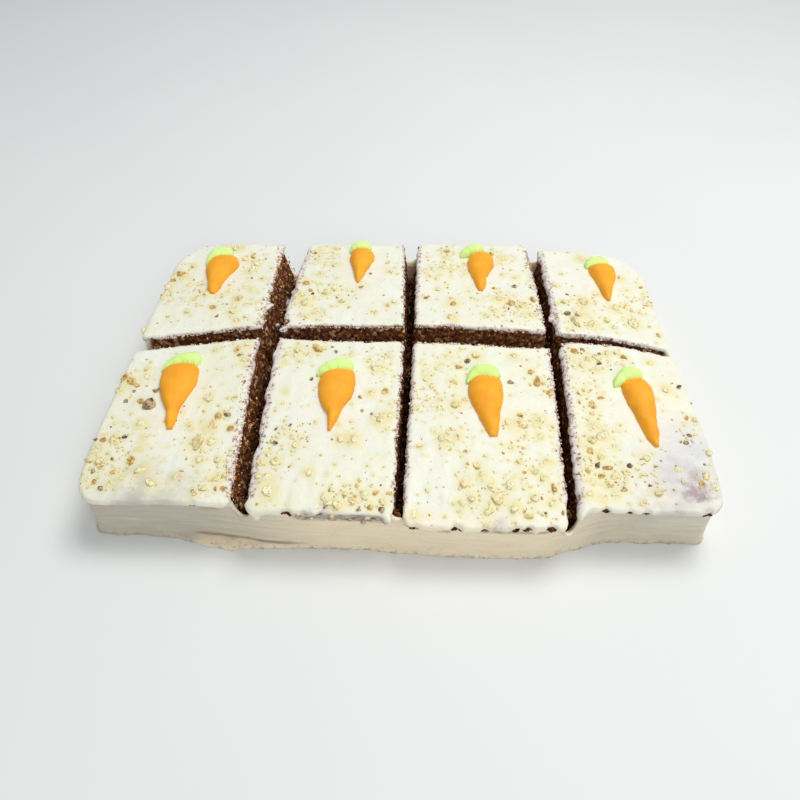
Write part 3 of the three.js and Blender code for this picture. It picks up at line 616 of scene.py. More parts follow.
def slab_top(row, column, across_lines, along_lines):
    """Points of the soft top of the icing on one slice, row by row from the front."""
    width, depth = slice_size(row, column)
    a, b = (grid.ravel() for grid in np.meshgrid(across_lines, along_lines))
    cuts = slice_sides(row, column)
    distances = (b, width - a, depth - b, a)
    cut_kinds, outer_kinds = ("cut", "cut", "cut", "cut_left"), ("front", "outside", "outside", "outside")
    kinds = [cut_kinds[side] if cut else outer_kinds[side] for side, cut in enumerate(cuts)]
    drop = sum(rounding_drop(distance, EDGE_RADIUS[kind]) for distance, kind in zip(distances, kinds))
    outer = FRONT_CORNER_RADIUS if row == "front" else BACK_CORNER_RADIUS
    round_a, round_b = round_corners(a, b, width, depth, corner_radii(row, column, outer, 4, 2.5))
    seed = column + 4 * (row == "back")
    round_a, round_b = ragged_edges(round_a, round_b, width, depth, cuts, seed, FRINGE[column - 1])
    x, y = slice_point(row, column, round_a / width, round_b / depth, EDGE_HEIGHT, 0, LIP)
    return torn(np.stack([x, y, crown_at(x, y) - drop], axis=1))


def slab_side(edge, is_outer, ragged_lip):
    """Rings of points from under the slab up to its top's edge: a fringe over a cut and a lip outside."""
    normal = outward(edge[:, :2])
    hanging = relief(edge, LIP_HANG)
    hanging *= np.where((edge[:, 1] < -100) & (is_outer > 0.5), ragged_lip, 1)
    waviness = 0.5 * rough(edge + 50, 3.5, seed=8)
    rings = []
    for k in reversed(range(len(CUT_FRINGE["out"]))):
        out, down, ragged = (
            CUT_FRINGE[key][k] * (1 - is_outer) + LIP_PROFILE[key][k] * is_outer for key in CUT_FRINGE
        )
        ring = edge.copy()
        ring[:, :2] += normal * (out + ragged * waviness)[:, None]
        ring[:, 2] -= down + ragged * hanging
        rings.append(ring)
    return rings


def icing_slab(row, column):
    """The icing on one slice as a closed body: a soft top, a fringe over each cut and a lip outside."""
    across_lines, along_lines = (fine_edge_lines(length) for length in slice_size(row, column))
    top = slab_top(row, column, across_lines, along_lines)
    index = np.arange(len(top)).reshape(len(along_lines), len(across_lines))
    sides = (index[0, :-1], index[:-1, -1], index[-1, :0:-1], index[:0:-1, 0])
    perimeter = np.concatenate(sides)
    cuts = slice_sides(row, column)
    is_outer = np.concatenate([np.full(len(side), float(not cut)) for side, cut in zip(sides, cuts)])
    is_outer = np.convolve(np.concatenate([is_outer[-3:], is_outer, is_outer[:3]]), np.ones(7) / 7, "valid")
    rings = slab_side(top[perimeter], is_outer, RAGGED_LIP[column - 1])

    quads = np.stack([index[:-1, :-1], index[:-1, 1:], index[1:, 1:], index[1:, :-1]], axis=2)
    faces = quads.reshape(-1, 4).tolist()
    first, count = len(top), len(perimeter)
    faces += ring_faces(len(rings), count, first)
    last = first + (len(rings) - 1) * count
    turned = perimeter.tolist()
    faces += [(last + s, last + (s + 1) % count, turned[(s + 1) % count], turned[s]) for s in range(count)]
    faces.append(tuple(range(first + count - 1, first - 1, -1)))
    return np.concatenate([top] + rings), faces


def icing_bits():
    """Torn scraps of icing that hang from the edges or lie in the cuts."""
    ball, faces = unit_ball(3)
    bits = []
    for *place, reach_x, reach_y, reach_z in FLAPS:
        points = ball * (reach_x, reach_y, reach_z) + place
        bits.append((points + ball * 0.5 * rough(points, 3, seed=9)[:, None], faces.tolist()))
    return bits


def outline(inset, edge, smear):
    """The cake's outline as a counterclockwise loop from the front left corner."""
    long_side = np.linspace(0, 1, WALL_STATIONS["long"], endpoint=False)
    short_side = np.linspace(0, 1, WALL_STATIONS["short"], endpoint=False)
    unit_x = np.concatenate([long_side, np.ones(len(short_side)), 1 - long_side, np.zeros(len(short_side))])
    unit_y = np.concatenate([np.zeros(len(long_side)), short_side, np.ones(len(long_side)), 1 - short_side])
    half_depth = HALF_DEPTH - inset
    y = (unit_y * 2 - 1) * half_depth
    left, right = left_of(y) + inset, right_of(y) - inset
    a, b = unit_x * (right - left), y + half_depth
    radii = {(right, back): BACK_CORNER_RADIUS if back else edge["corner"] for right, back in CORNERS}
    radii = {corner: max(radius - inset, 3) for corner, radius in radii.items()}
    a, b = round_corners(a, b, right - left, 2 * half_depth, radii)
    x, y = left + a, b - half_depth
    share = (np.abs(y) / half_depth) ** 2
    front = by_column(x, edge["front"], edge["blend"]) * share
    front -= smear * SMEAR["reach"] * np.exp(-(((x - SMEAR["x"]) / SMEAR["spread"]) ** 2)) * (y < -60)
    back = by_column(x, edge["back"], edge["blend"]) * share
    return np.stack([x, y + np.where(y < 0, front, -back)], axis=1)


def notch_height(across, cut, run, floor):
    """Top of the wall at a distance across from where a cut runs out: a rounded U, open above."""
    half = cut_width(cut, run) / 2 + 0.5
    offset = np.abs(across - cut_middle(cut, run))
    bowl = 0.8 * half * (1 - np.sqrt(np.clip(1 - (offset / half) ** 2, 0, 1)))
    return floor + bowl + np.where(offset > half, (offset - half) * 3 + 0.2, 0)


def icing_wall():
    """The wall of icing all round as a closed ring, notched where the cuts run out."""
    rim = outline(1.5, LIP, 0)
    x, y = rim[:, 0], rim[:, 1]
    top = crown_at(x, y) - WALL_DROP
    for index, cut in enumerate(COLUMN_CUTS):
        top = np.where(y < -90, np.minimum(top, notch_height(x, cut, -HALF_DEPTH, FRONT_NOTCHES[index])), top)
        top = np.where(y > 90, np.minimum(top, notch_height(x, cut, HALF_DEPTH, BACK_NOTCHES[index])), top)
    top = np.where(x < -150, np.minimum(top, notch_height(y, ROW_CUT, -HALF_WIDTH, LEFT_NOTCH)), top)
    rings = []
    for share, inset, lip, smear in zip(*WALL_PROFILE.values()):
        loop = (1 - lip) * outline(inset, FOOT, smear) + lip * outline(inset, LIP, 0)
        points = np.column_stack([loop, top * share])
        hollow = relief(points, WALL_HOLLOWS)
        hollow -= by_column(loop[:, 0], OVERHANG, LIP["blend"]) * lip * (loop[:, 1] < -90)
        ragged_foot = relief(points, RAGGED_FOOT) * max(0, 1 - share * 8)
        out = hollow * (inset < 5) * min(1, 0.3 + share * 3) + ragged_foot
        points[:, :2] += outward(loop) * out[:, None]
        rings.append(points)
    return np.concatenate(rings), ring_faces(len(rings), len(rim), closed=True)


def icing_skin(material, nuts):
    """All the icing fused into one skin, with knife marks, and mounds where nuts lie in it."""
    slabs = [icing_slab(row, column) for row, column in SLICES]
    skin = joined("icing_skin", [icing_wall()] + icing_bits() + slabs)
    remesh = skin.modifiers.new("fuse", "REMESH")
    remesh.mode = "VOXEL"
    remesh.voxel_size = VOXEL * MM
    soften = skin.modifiers.new("soften", "SMOOTH")
    soften.factor = 0.5
    soften.iterations = 1
    apply_modifiers(skin)

    points, normals = points_of(skin), normals_of(skin)
    upward = smoothstep(normals[:, 2], 0.5, 0.95)
    sideways = smoothstep(1 - np.abs(normals[:, 2]), 0.3, 0.8) * smoothstep(points[:, 2], 1, 6)
    shift = upward * (relief(points, KNIFE_STROKES) + relief(points, TOP_LUMPS))
    shift += sideways * relief(points, WALL_STREAKS)
    shift += torn_band(points) * relief(points, TORN_RELIEF)
    rise, _ = around_nuts(points, nuts)
    shift += upward * rise
    move_points(skin, points + normals * np.maximum(shift, -DEEPEST_DENT)[:, None])

    thin = skin.modifiers.new("thin", "DECIMATE")
    thin.ratio = ICING_TRIANGLES / (2 * len(skin.data.polygons))
    apply_modifiers(skin)
    skin.name = skin.data.name = "icing_skin"
    finish_piece(skin, material, "icing", "icing")
    return skin


def paint_icing(skin, nuts):
    """Stores where nuts tint the icing and where it is smeared or torn, and where painted shade lies: in the
    fold over the smear, on the front wall, and with the cake's brown under the lip.
    """
    points, normals = points_of(skin), normals_of(skin)
    _, tint = around_nuts(points, nuts)
    paint(skin, "nutty", tint * smoothstep(normals[:, 2], 0.2, 0.6))
    paint(skin, "dragged", dragged_crumb(points))
    paint(skin, "torn", torn_band(points))
    below = crown_at(points[:, 0], points[:, 1]) - points[:, 2]
    front_wall = smoothstep(-points[:, 1], 98, 106) * smoothstep(below, 1.5, 3)
    smeared = window(points[:, 0], *SMEAR_SPAN)
    # Painted shade: a dark line along the fold over the smear at the foot
    paint(skin, "crease_shade", smeared * front_wall * np.exp(-(((points[:, 2] - CREASE_SHADE_HEIGHT) / 0.7) ** 2)))
    clear_of_smear = 1 - 0.8 * smeared * (1 - smoothstep(points[:, 2], 2.5, 4.5))
    # Painted shade: the front wall darkened to greyish, most at both ends
    paint(skin, "painted_wall_shade", front_wall * clear_of_smear * np.interp(points[:, 0], *WALL_SHADE_BY_X))
    # Brown cake and painted shadow on the wall just under the front lip
    paint(skin, "under_lip_brown_and_shade", brown_and_shade_under_lip(points, below))


def paint(made, name, amounts):
    """Stores an amount from 0 to 1 for each point, for the material to read."""
    made.data.attributes.new(name, "FLOAT", "POINT").data.foreach_set("value", np.clip(amounts, 0, 1))


def brown_and_shade_under_lip(points, below):
    """Patches of brown cake and painted shadow on the strip of wall that is seen right under the front lip.
    """
    x = points[:, 0]
    recess = points[:, 1] - front_of(x, LIP)
    seen_from = UNDER_LIP_STRIP_DEPTH + 1.5 * by_column(x, OVERHANG, LIP["blend"])
    strip = smoothstep(recess, 0.3, 0.9) * (recess < 8) * np.exp(-(((below - seen_from) / 1.1) ** 2))
    patches = smoothstep(relief(points, UNDER_LIP_PATCHES), -0.15, 0.3)
    return strip * patches * by_column(x, UNDER_LIP_BROWN_AND_SHADE, LIP["blend"])


def torn_band(points):
    """1 on the band of the second slice's front lip that is torn and rough, 0 elsewhere."""
    x, y, z = points.T
    below = crown_at(x, y) - z
    ends = window(x, *TORN_SPAN)
    return ends * smoothstep(below, 1, 2.6) * (1 - smoothstep(below, 10, 14)) * (y < -108)


def dragged_crumb(points):
    """How much crumb the knife dragged over the icing: most at the very edges of the cuts."""
    x, y, _ = points.T
    ragged = 0.9 * rough(points, 5, seed=61)
    total = np.zeros(len(points))
    for cut, reaches in zip(CUTS, DRAG):
        run, across = (x, y) if cut is ROW_CUT else (y, x)
        ends = 1 - smoothstep(np.abs(run), *((150, 158) if cut is ROW_CUT else (105, 112)))
        offset = across - cut_middle(cut, run)
        for side, reach in zip((-1, 1), reaches):
            beyond = side * offset - cut_width(cut, run) / 2 + ragged
            amount = ends * (1 - smoothstep(beyond, 0.2, reach + 0.8))
            total = np.maximum(total, np.where(side * offset > 0, amount, 0))
    return total


def around_nuts(points, nuts):
    """How much the icing rises round the nuts pressed into it, and how much they tint it."""
    order = np.argsort(points[:, 0])
    sorted_x = points[order, 0]
    rise, tint = np.zeros(len(points)), np.zeros(len(points))
    for kind, places in nuts.items():
        height, colour = MOUNDS[kind]
        for x, y, z, radius in places:
            low, high = np.searchsorted(sorted_x, (x - 2.4 * radius, x + 2.4 * radius))
            near_by = order[low:high]
            away = points[near_by] - (x, y, z)
            bell = np.exp(-np.sum(away**2, axis=1) / radius**2)
            rise[near_by] += height * radius * bell
            tint[near_by] = np.maximum(tint[near_by], colour * bell**0.4)
    return np.minimum(rise, 1), tint


# Walnuts and crumbs


SEED = 11
SCATTERED_NUTS = 2400
FLECKS = 260
BAND_BITS = 70
NUT_RADII = {"largest": 1.8, "smallest": 0.4}
NUT_PLAIN_DENSITY = 0.07
NUT_MARGIN = 1.5
NUT_GROWTH = 1.18
# Radii from which lumps are modelled finer
FINER_FROM = (0.8, 1.45)
# How far the middle of a nut lies over the top, as a share of its radius, and its share of the scattered ones
NUT_SUNK = {"coated": -0.02, "pale": -0.02, "tan": 0, "skin": 0}
NUT_SHARES = (0.5, 0.36, 0.1, 0.04)
# How far and how thickly crumbs lie along each cut, and where its bottom is filled with them
CRUMB_RUNS = (((-110, 114), 5.5), ((-112, 116), 2.5), ((-104, 112), 4.5), ((-158, 156), 4.5))
CUT_FLOORS = ((-108, 114), (-110, 114), (-102, 112), (-156, 154))
FLOOR_CRUMB_STEP = 1.6
CRUMB_RADII = (0.3, 0.9)


def on_icing(x, y, margin):
    """True for places on top of the icing, clear of the edge, the cuts and the carrots."""
    front, back = front_of(x, LIP) + margin, back_of(x, LIP) - margin
    left, right = left_of(y) + margin, right_of(y) - margin
    corner = np.where(y < 0, FRONT_CORNER_RADIUS, BACK_CORNER_RADIUS)
    out_x = x - np.clip(x, left + corner, right - corner)
    out_y = y - np.clip(y, front + corner, back - corner)
    good = np.hypot(out_x, out_y) < corner
    for cut in CUTS:
        good &= outside_cut(cut, x, y, margin=1)
    for item in DECORATIONS.values():
        crown, tip = np.array(item["crown"]), np.array(item["tip"])
        spine = tip - crown
        along = np.clip(((x - crown[0]) * spine[0] + (y - crown[1]) * spine[1]) / (spine @ spine), 0, 1)
        away = np.hypot(x - crown[0] - along * spine[0], y - crown[1] - along * spine[1])
        half = np.interp(along, CARROT_PROFILE["along"], item["widths"]) / 2
        good &= away > half + 1.2
        for leaf_x, leaf_y in item["leaf"]:
            good &= np.hypot(x - crown[0] - leaf_x, y - crown[1] - leaf_y) > 6.5
    return good


def scattered(count, random, density_floor):
    """Places on the icing, thickest in the patches."""
    found = np.empty((0, 2))
    while len(found) < count:
        x = random.uniform(-HALF_WIDTH, HALF_WIDTH, 4000)
        y = random.uniform(-HALF_DEPTH, HALF_DEPTH, 4000)
        density = sum(
            np.exp(-((x - middle_x) ** 2 + (y - middle_y) ** 2) / (2 * spread**2))
            for middle_x, middle_y, spread in NUT_PATCHES
        )
        keep = (random.random(4000) < density + density_floor) & on_icing(x, y, NUT_MARGIN)
        found = np.concatenate([found, np.stack([x, y], axis=1)[keep]])
    return found[:count]


def place_nuts(random):
    """Every nut by kind, each (x, y, z, radius): the larger ones where they were seen, small ones between."""
    kinds = list(NUTS)
    placed = [(x, y, NUT_GROWTH * radius, kind) for kind in kinds for x, y, radius in NUTS[kind]]
    spots = scattered(SCATTERED_NUTS, random, NUT_PLAIN_DENSITY)
    for number, (x, y) in enumerate(spots):
        share = number / SCATTERED_NUTS
        radius = NUT_RADII["largest"] + (NUT_RADII["smallest"] - NUT_RADII["largest"]) * share**0.35
        others = np.array([nut[:3] for nut in placed])
        if np.all(np.hypot(x - others[:, 0], y - others[:, 1]) > 0.6 * (radius + others[:, 2])):
            placed.append((x, y, radius, random.choice(kinds, p=NUT_SHARES)))
    nuts = {}
    for kind in kinds:
        x, y, radius = np.array([nut[:3] for nut in placed if nut[3] == kind], float).T
        shoulder = rounding_drop(edge_distance(x, y), EDGE_RADIUS["outside"])
        sunk = (NUT_SUNK[kind] + random.uniform(-0.12, 0.12, len(x))) * radius
        nuts[kind] = np.column_stack([x, y, crown_at(x, y) - shoulder + sunk, radius])
    return nuts


def band_places(skin, random):
    """Bits of nut and crumb on the torn band of the front lip."""
    points = points_of(skin)
    chosen = random.choice(np.flatnonzero(torn_band(points) > 0.6), BAND_BITS)
    return np.column_stack([points[chosen], random.uniform(0.7, 2.2, BAND_BITS)])


def edge_distance(x, y):
    """Distance in from the lip of the icing."""
    insides = [y - front_of(x, LIP), back_of(x, LIP) - y, x - left_of(y), right_of(y) - x]
    return np.clip(np.minimum.reduce(insides), 0, None)


def unit_ball(subdivisions):
    """Points and triangles of a unit icosphere."""
    form = bmesh.new()
    bmesh.ops.create_icosphere(form, subdivisions=subdivisions, radius=1)
    points = np.array([vertex.co[:] for vertex in form.verts])
    faces = [[vertex.index for vertex in face.verts] for face in form.faces]
    form.free()
    return points, np.array(faces)


FACET_DEPTHS = (0.45, 0.85)
STRETCHES = (0.75, 1.3)
TILT = 0.3
LUMP_ROUGHNESS = 0.13


def cut_flat(balls, facets, random):
    """Cuts each ball of points flat by random planes of its own."""
    for _ in range(facets):
        plane = random.normal(size=(len(balls), 3))
        plane /= np.linalg.norm(plane, axis=1, keepdims=True)
        depth = random.uniform(*FACET_DEPTHS, len(balls))
        beyond = np.einsum("nvk,nk->nv", balls, plane) - depth[:, None]
        balls -= np.clip(beyond, 0, None)[:, :, None] * plane[:, None, :]
    return balls


def lumps(name, places, material, slot_name, random, subdivisions, facets, flatness, smooth=False):
    """Chopped or crumbled bits as one mesh: a ball for each, cut flat by random planes and turned."""
    ball, faces = unit_ball(subdivisions)
    count = len(places)
    points = cut_flat(np.repeat(ball[None], count, axis=0), facets, random)
    points *= random.uniform(*STRETCHES, (count, 1, 3)) * np.array([1, 1, flatness])
    turn = random.uniform(0, 2 * math.pi, count)
    tilt = random.normal(0, TILT, (count, 2))
    cos, sin = np.cos(turn)[:, None], np.sin(turn)[:, None]
    x, y, z = points[:, :, 0], points[:, :, 1], points[:, :, 2]
    z = z + tilt[:, :1] * x + tilt[:, 1:] * y
    points = np.stack([x * cos - y * sin, x * sin + y * cos, z], axis=2)
    points = points * places[:, 3][:, None, None] + places[:, None, :3]
    flat = points.reshape(-1, 3)
    jitter = np.stack([noise(flat, 0.9, seed=41 + k) for k in range(3)], axis=1)
    flat += LUMP_ROUGHNESS * np.repeat(places[:, 3], len(ball))[:, None] * jitter
    all_faces = (faces[None] + (np.arange(count) * len(ball))[:, None, None]).reshape(-1, 3)
    made = mesh_object(name, flat, all_faces.tolist(), material, smooth)
    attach(made, "root")
    return made


def crumb_places(random, depth, share):
    """Crumbs on the walls of every cut down to a depth, or beside it at no depth: (x, y, z, radius)."""
    places = []
    for cut, reaches, (span, per_mm) in zip(CUTS, STREWN, CRUMB_RUNS):
        count = round((span[1] - span[0]) * per_mm * share)
        run = random.uniform(*span, count)
        side = random.choice([-1, 1], count)
        reach = np.where(side < 0, *reaches)
        inward = reach * random.random(count) ** 1.7 - 0.3
        radius = random.uniform(*CRUMB_RADII, count)
        x, y = place_across(cut, run, cut_wall(cut, run, EDGE_HEIGHT, side))
        top = crown_at(x, y)
        if depth:
            height = top - 1.2 - depth * random.random(count) ** 1.6
            across = cut_wall(cut, run, height, side) + side * 0.25
        else:
            bevel = np.where(side < 0, EDGE_RADIUS["cut"], EDGE_RADIUS["cut_left"])
            height = top - rounding_drop(np.clip(inward, 0, None), bevel)
            across = cut_wall(cut, run, EDGE_HEIGHT, side) + side * inward
        x, y = place_across(cut, run, across)
        clear = np.all([outside_cut(other, x, y) for other in CUTS if other is not cut], axis=0)
        places.append(np.column_stack([x, y, height, radius])[clear])
    return np.concatenate(places)


def lumps_by_size(name, places, material, slot_name, random, facets, flatness, smooth=False):
    """Lumps as up to three pieces, the larger ones modelled finer."""
    limits = (0, *FINER_FROM, math.inf)
    for subdivisions in (1, 2, 3):
        chosen = (places[:, 3] >= limits[subdivisions - 1]) & (places[:, 3] < limits[subdivisions])
        if chosen.any():
            piece = f"{name}_{('tiny', 'small', 'large')[subdivisions - 1]}"
            lumps(piece, places[chosen], material, slot_name, random, subdivisions, facets, flatness, smooth)


def heap_places(random):
    """Loose crumb in the ends of the cuts, and in the narrow bottom of each."""
    places = []
    for x, y, z, spread, count in CRUMB_HEAPS:
        offsets = random.normal(0, 1, (count, 3)) * (spread, spread * 0.6, 1)
        places.append(np.column_stack([offsets + (x, y, z), random.uniform(0.9, 2, count)]))
    for cut, span in zip(CUTS, CUT_FLOORS):
        run = np.arange(*span, FLOOR_CRUMB_STEP)
        radius = random.uniform(0.9, 1.7, len(run))
        height = EDGE_HEIGHT * (2 * radius - KERF_WIDTH) / (cut_width(cut, run) - KERF_WIDTH) * 0.9
        places.append(np.column_stack([*place_across(cut, run, cut_middle(cut, run)), height, radius]))
    return np.concatenate(places)


def tear_places(random):
    """Places for the crumb that shows where the front lip is torn, which is drawn dark as painted shadow
    under the lip.
    """
    places = []
    for x, _, half in TEARS:
        count = round(half * 4)
        xs = x + random.uniform(-0.8, 0.8, count) * half
        ys = front_of(xs, LIP) + 1.7
        below = 3.8 - 1.6 * random.random(count) * (1 - np.abs(xs - x) / half)
        places.append(np.column_stack([xs, ys, crown_at(xs, ys) - below, random.uniform(0.8, 1.5, count)]))
    return np.concatenate(places)


# Sponge


SPONGE_STEP = 0.95
SPONGE_COARSE_STEP = 11.0
SPONGE_INSET = 7.3
SPONGE_DROP = 1.9
SPONGE_CORNER = {"front": 8, "back": 24}
SPONGE_LEVELS = np.concatenate([[0, 0.1, 0.2, 0.3, 0.4], np.linspace(0.46, 1, 21)])
OPEN_CRUMB = ((0.7, 6, 52, 3), (0.6, 2, 53, 1))
PIT_DEPTH = 1.9
CRUMB_RANGE = (-2.4, 0.8)
# The cut faces swell a little towards the board, where the crumb is pressed smooth
FOOT_SWELL = 0.27


def sponge_outline(row, column, width, depth):
    """Places round a slice, across and along it, and 1 where its side was cut or 0 where it wasn't."""
    lengths = (width, depth, width, depth)
    unit_a, unit_b, crumbly = [], [], []
    for side, (length, cut) in enumerate(zip(lengths, slice_sides(row, column))):
        steps = round(length / (SPONGE_STEP if cut else SPONGE_COARSE_STEP))
        run = np.arange(steps) / steps
        zero, one = np.zeros(steps), np.ones(steps)
        unit_a.append((run, one, 1 - run, zero)[side])
        unit_b.append((zero, run, one, 1 - run)[side])
        crumbly.append(np.full(steps, float(cut)))
    unit_a, unit_b, crumbly = (np.concatenate(values) for values in (unit_a, unit_b, crumbly))
    radii = corner_radii(row, column, SPONGE_CORNER[row], 0.5, 2)
    a, b = round_corners(unit_a * width, unit_b * depth, width, depth, radii)
    return a, b, crumbly


def sponge_block(row, column, material):
    """One slice's sponge, with open crumb on the sides that were cut."""
    width, depth = slice_size(row, column)
    a, b, crumbly = sponge_outline(row, column, width, depth)
    rings = []
    for share in SPONGE_LEVELS:
        x, y = slice_point(row, column, a / width, b / depth, EDGE_HEIGHT * share, SPONGE_INSET, FOOT)
        z = (crown_at(x, y) - SPONGE_DROP) * share
        ring = np.column_stack([x, y, z])
        pits = np.clip(noise(ring, 2.6, seed=51) - 0.15, 0, 1)
        crumb = relief(ring, OPEN_CRUMB) - PIT_DEPTH * pits - 0.2
        crumb = np.clip(crumb, *CRUMB_RANGE) * crumbly * smoothstep(z, 1, 9)
        crumb += FOOT_SWELL * crumbly * (1 - smoothstep(z, 0, 9))
        ring[:, :2] += outward(ring[:, :2]) * crumb[:, None]
        rings.append(ring)
    rim = rings[-1].copy()
    rim[:, :2] -= outward(rim[:, :2]) * 1.2
    rings.append(rim + (0, 0, 0.3))
    sides = len(a)
    faces = ring_faces(len(rings), sides)
    faces.append(tuple(range(sides - 1, -1, -1)))
    faces.append(tuple(range((len(rings) - 1) * sides, len(rings) * sides)))
    name = f"{row}_{column}"
    made = mesh_object(f"sponge_{name}_crumb", np.concatenate(rings), faces)
    finish_piece(made, material, "sponge", f"sponge_{name}")
    return made


# Piping


CARROT_RINGS = 54
CARROT_SIDES = 30
CARROT_RIDGES = 0.18
CARROT_SEED = 60
LEAF_RINGS = 44
LEAF_SIDES = 22
LEAF_RIDGES = 0.26
LEAF_SEED = 80


def piped(name, centres, halves, heights, sides, ridges, seed):
    """A rope of icing along a line: flat underneath and rounded on top, with soft ridges."""
    along = np.gradient(centres, axis=0)
    along /= np.linalg.norm(along, axis=1, keepdims=True)
    side = np.stack([along[:, 1], -along[:, 0]], axis=1)
    base = crown_at(centres[:, 0], centres[:, 1])
    angles = np.arange(sides) / sides * 2 * math.pi
    rings = []
    for centre, direction, half, height, ground in zip(centres, side, halves, heights, base):
        across = np.sign(np.cos(angles)) * np.abs(np.cos(angles)) ** 0.85 * half
        lift = np.where(np.sin(angles) > 0, np.sin(angles) * (height + 0.6), np.sin(angles) * 0.9)
        rings.append(np.column_stack([centre + direction * across[:, None], ground + 0.2 + lift]))
    points = np.concatenate(rings)
    away = points - np.repeat(np.column_stack([centres, base]), sides, axis=0)
    amount = np.repeat(np.minimum(halves / 4, 1), sides)
    bumps = amount * (0.35 * rough(points, 5, seed=seed) + ridges * noise(points, (4, 4, 3), seed=seed + 5))
    points += away / np.maximum(np.linalg.norm(away, axis=1, keepdims=True), 1e-6) * bumps[:, None]
    count = len(centres)
    faces = ring_faces(count, sides)
    faces.append(tuple(range(sides - 1, -1, -1)))
    faces.append(tuple(range((count - 1) * sides, count * sides)))
    return mesh_object(name, points, faces)


def carrot(place, material, seed):
    item = DECORATIONS[place]
    along = np.linspace(0, 1, CARROT_RINGS)
    crown, tip = np.array(item["crown"], float), np.array(item["tip"], float)
    centres = crown + (tip - crown) * along[:, None]
    centres[:, 0] += smooth_interp(along, CARROT_PROFILE["along"], item["bends"])
    halves = smooth_interp(along, CARROT_PROFILE["along"], item["widths"]) / 2
    heights = smooth_interp(along, CARROT_PROFILE["along"], CARROT_PROFILE["height"])
    made = piped(f"piped_carrot_{place}", centres, halves, heights, CARROT_SIDES, CARROT_RIDGES, seed)
    finish_piece(made, material, "carrot", f"carrot_{place}")
    return made


def leaf(place, material, seed):
    item = DECORATIONS[place]
    along = np.linspace(0, 1, LEAF_RINGS)
    ends = np.array(item["leaf"], float) + item["crown"]
    centres = arc_through(ends, along)
    frills = 1 + 0.09 * noise(np.column_stack([along * 18, along * 0, along * 0]), 1, seed=seed)
    halves = smooth_interp(along, LEAF_PROFILE["along"], LEAF_PROFILE["half"]) * frills
    heights = smooth_interp(along, LEAF_PROFILE["along"], LEAF_PROFILE["height"])
    made = piped(f"piped_leaf_{place}", centres, halves, heights, LEAF_SIDES, LEAF_RIDGES, seed)
    finish_piece(made, material, "leaf", f"leaf_{place}")
    return made


def smooth_interp(at, knots, values):
    """Straight-line interpolation, rounded off by averaging it over a short stretch."""
    shifts = np.linspace(-0.035, 0.035, 9)
    return np.mean([np.interp(at + shift, knots, values) for shift in shifts], axis=0)


def arc_through(points, along):
    """A quadratic curve through three points."""
    start, middle, end = points
    control = 2 * middle - (start + end) / 2
    t = along[:, None]
    return (1 - t) ** 2 * start + 2 * t * (1 - t) * control + t**2 * end


# Materials


def add(tree, kind, inputs=None, **settings):
    """A shader node with its settings and inputs. An input is a value or another node's output."""
    made = tree.nodes.new(kind)
    for name, value in settings.items():
        setattr(made, name, value)
    for name, value in (inputs or {}).items():
        if isinstance(value, bpy.types.NodeSocket):
            tree.links.new(value, made.inputs[name])
        else:
            made.inputs[name].default_value = value
    return made


def ramp(tree, factor, stops):
    """A colour that changes with a factor, through (position, colour) stops."""
    made = add(tree, "ShaderNodeValToRGB", {"Fac": factor})
    elements = made.color_ramp.elements
    while len(elements) < len(stops):
        elements.new(0.5)
    for element, (position, colour) in zip(elements, stops):
        element.position = position
        element.color = (*colour, 1)
    return made.outputs["Color"]


def blend_colours(tree, factor, first, second, mode="MIX"):
    made = add(tree, "ShaderNodeMix", data_type="RGBA", blend_type=mode)
    for index, value in ((0, factor), (6, first), (7, second)):
        if isinstance(value, bpy.types.NodeSocket):
            tree.links.new(value, made.inputs[index])
        else:
            made.inputs[index].default_value = value if index == 0 else (*value, 1)
    return made.outputs[2]


def noise_texture(tree, place, scale, detail=3, roughness=0.55):
    inputs = {"Vector": place, "Scale": scale, "Detail": detail, "Roughness": roughness}
    return add(tree, "ShaderNodeTexNoise", inputs).outputs["Fac"]


def mask(tree, factor, low, high, most=1.0):
    """An amount that is 0 up to a low value of the factor and at its most from a high one."""
    return ramp(tree, factor, [(low, (0, 0, 0)), (high, (most, most, most))])


def under_height(tree, height, start, full):
    """An amount that is 0 over the starting height and 1 under the full one."""
    inputs = {"Value": height, "From Min": start, "From Max": full}
    return add(tree, "ShaderNodeMapRange", inputs).outputs["Result"]


def bump(tree, height, distance, strength, before=None):
    inputs = {"Height": height, "Distance": distance, "Strength": strength}
    if before:
        inputs["Normal"] = before
    return add(tree, "ShaderNodeBump", inputs).outputs["Normal"]


def new_material(name, roughness, subsurface=0.0, radius=(0.003, 0.002, 0.0012)):
    """A material with one principled shader. Returns it, its tree, its shader and object coordinates."""
    material = bpy.data.materials.new(name)
    material.use_nodes = True
    tree = material.node_tree
    shader = tree.nodes["Principled BSDF"]
    shader.inputs["Roughness"].default_value = roughness
    shader.inputs["Subsurface Weight"].default_value = subsurface
    shader.inputs["Subsurface Radius"].default_value = radius
    shader.inputs["Subsurface Scale"].default_value = 1.0
    place = add(tree, "ShaderNodeTexCoord").outputs["Object"]
    return material, tree, shader, place


def painted(tree, name):
    """An amount stored on the mesh's points."""
    return add(tree, "ShaderNodeAttribute", attribute_name=name).outputs["Fac"]


def near(tree, place, spot, reach, size, low, high):
    """A ragged patch round a spot: 1 within it and 0 away from it."""
    away = add(tree, "ShaderNodeVectorMath", {0: place, 1: tuple(MM * v for v in spot)}, operation="DISTANCE")
    inputs = {"Value": away.outputs["Value"], "From Min": reach * MM, "From Max": 0.3 * reach * MM}
    fade = add(tree, "ShaderNodeMapRange", inputs).outputs["Result"]
    patchy = mask(tree, noise_texture(tree, place, size, 4), low, high)
    return blend_colours(tree, 1.0, fade, patchy, "MULTIPLY")
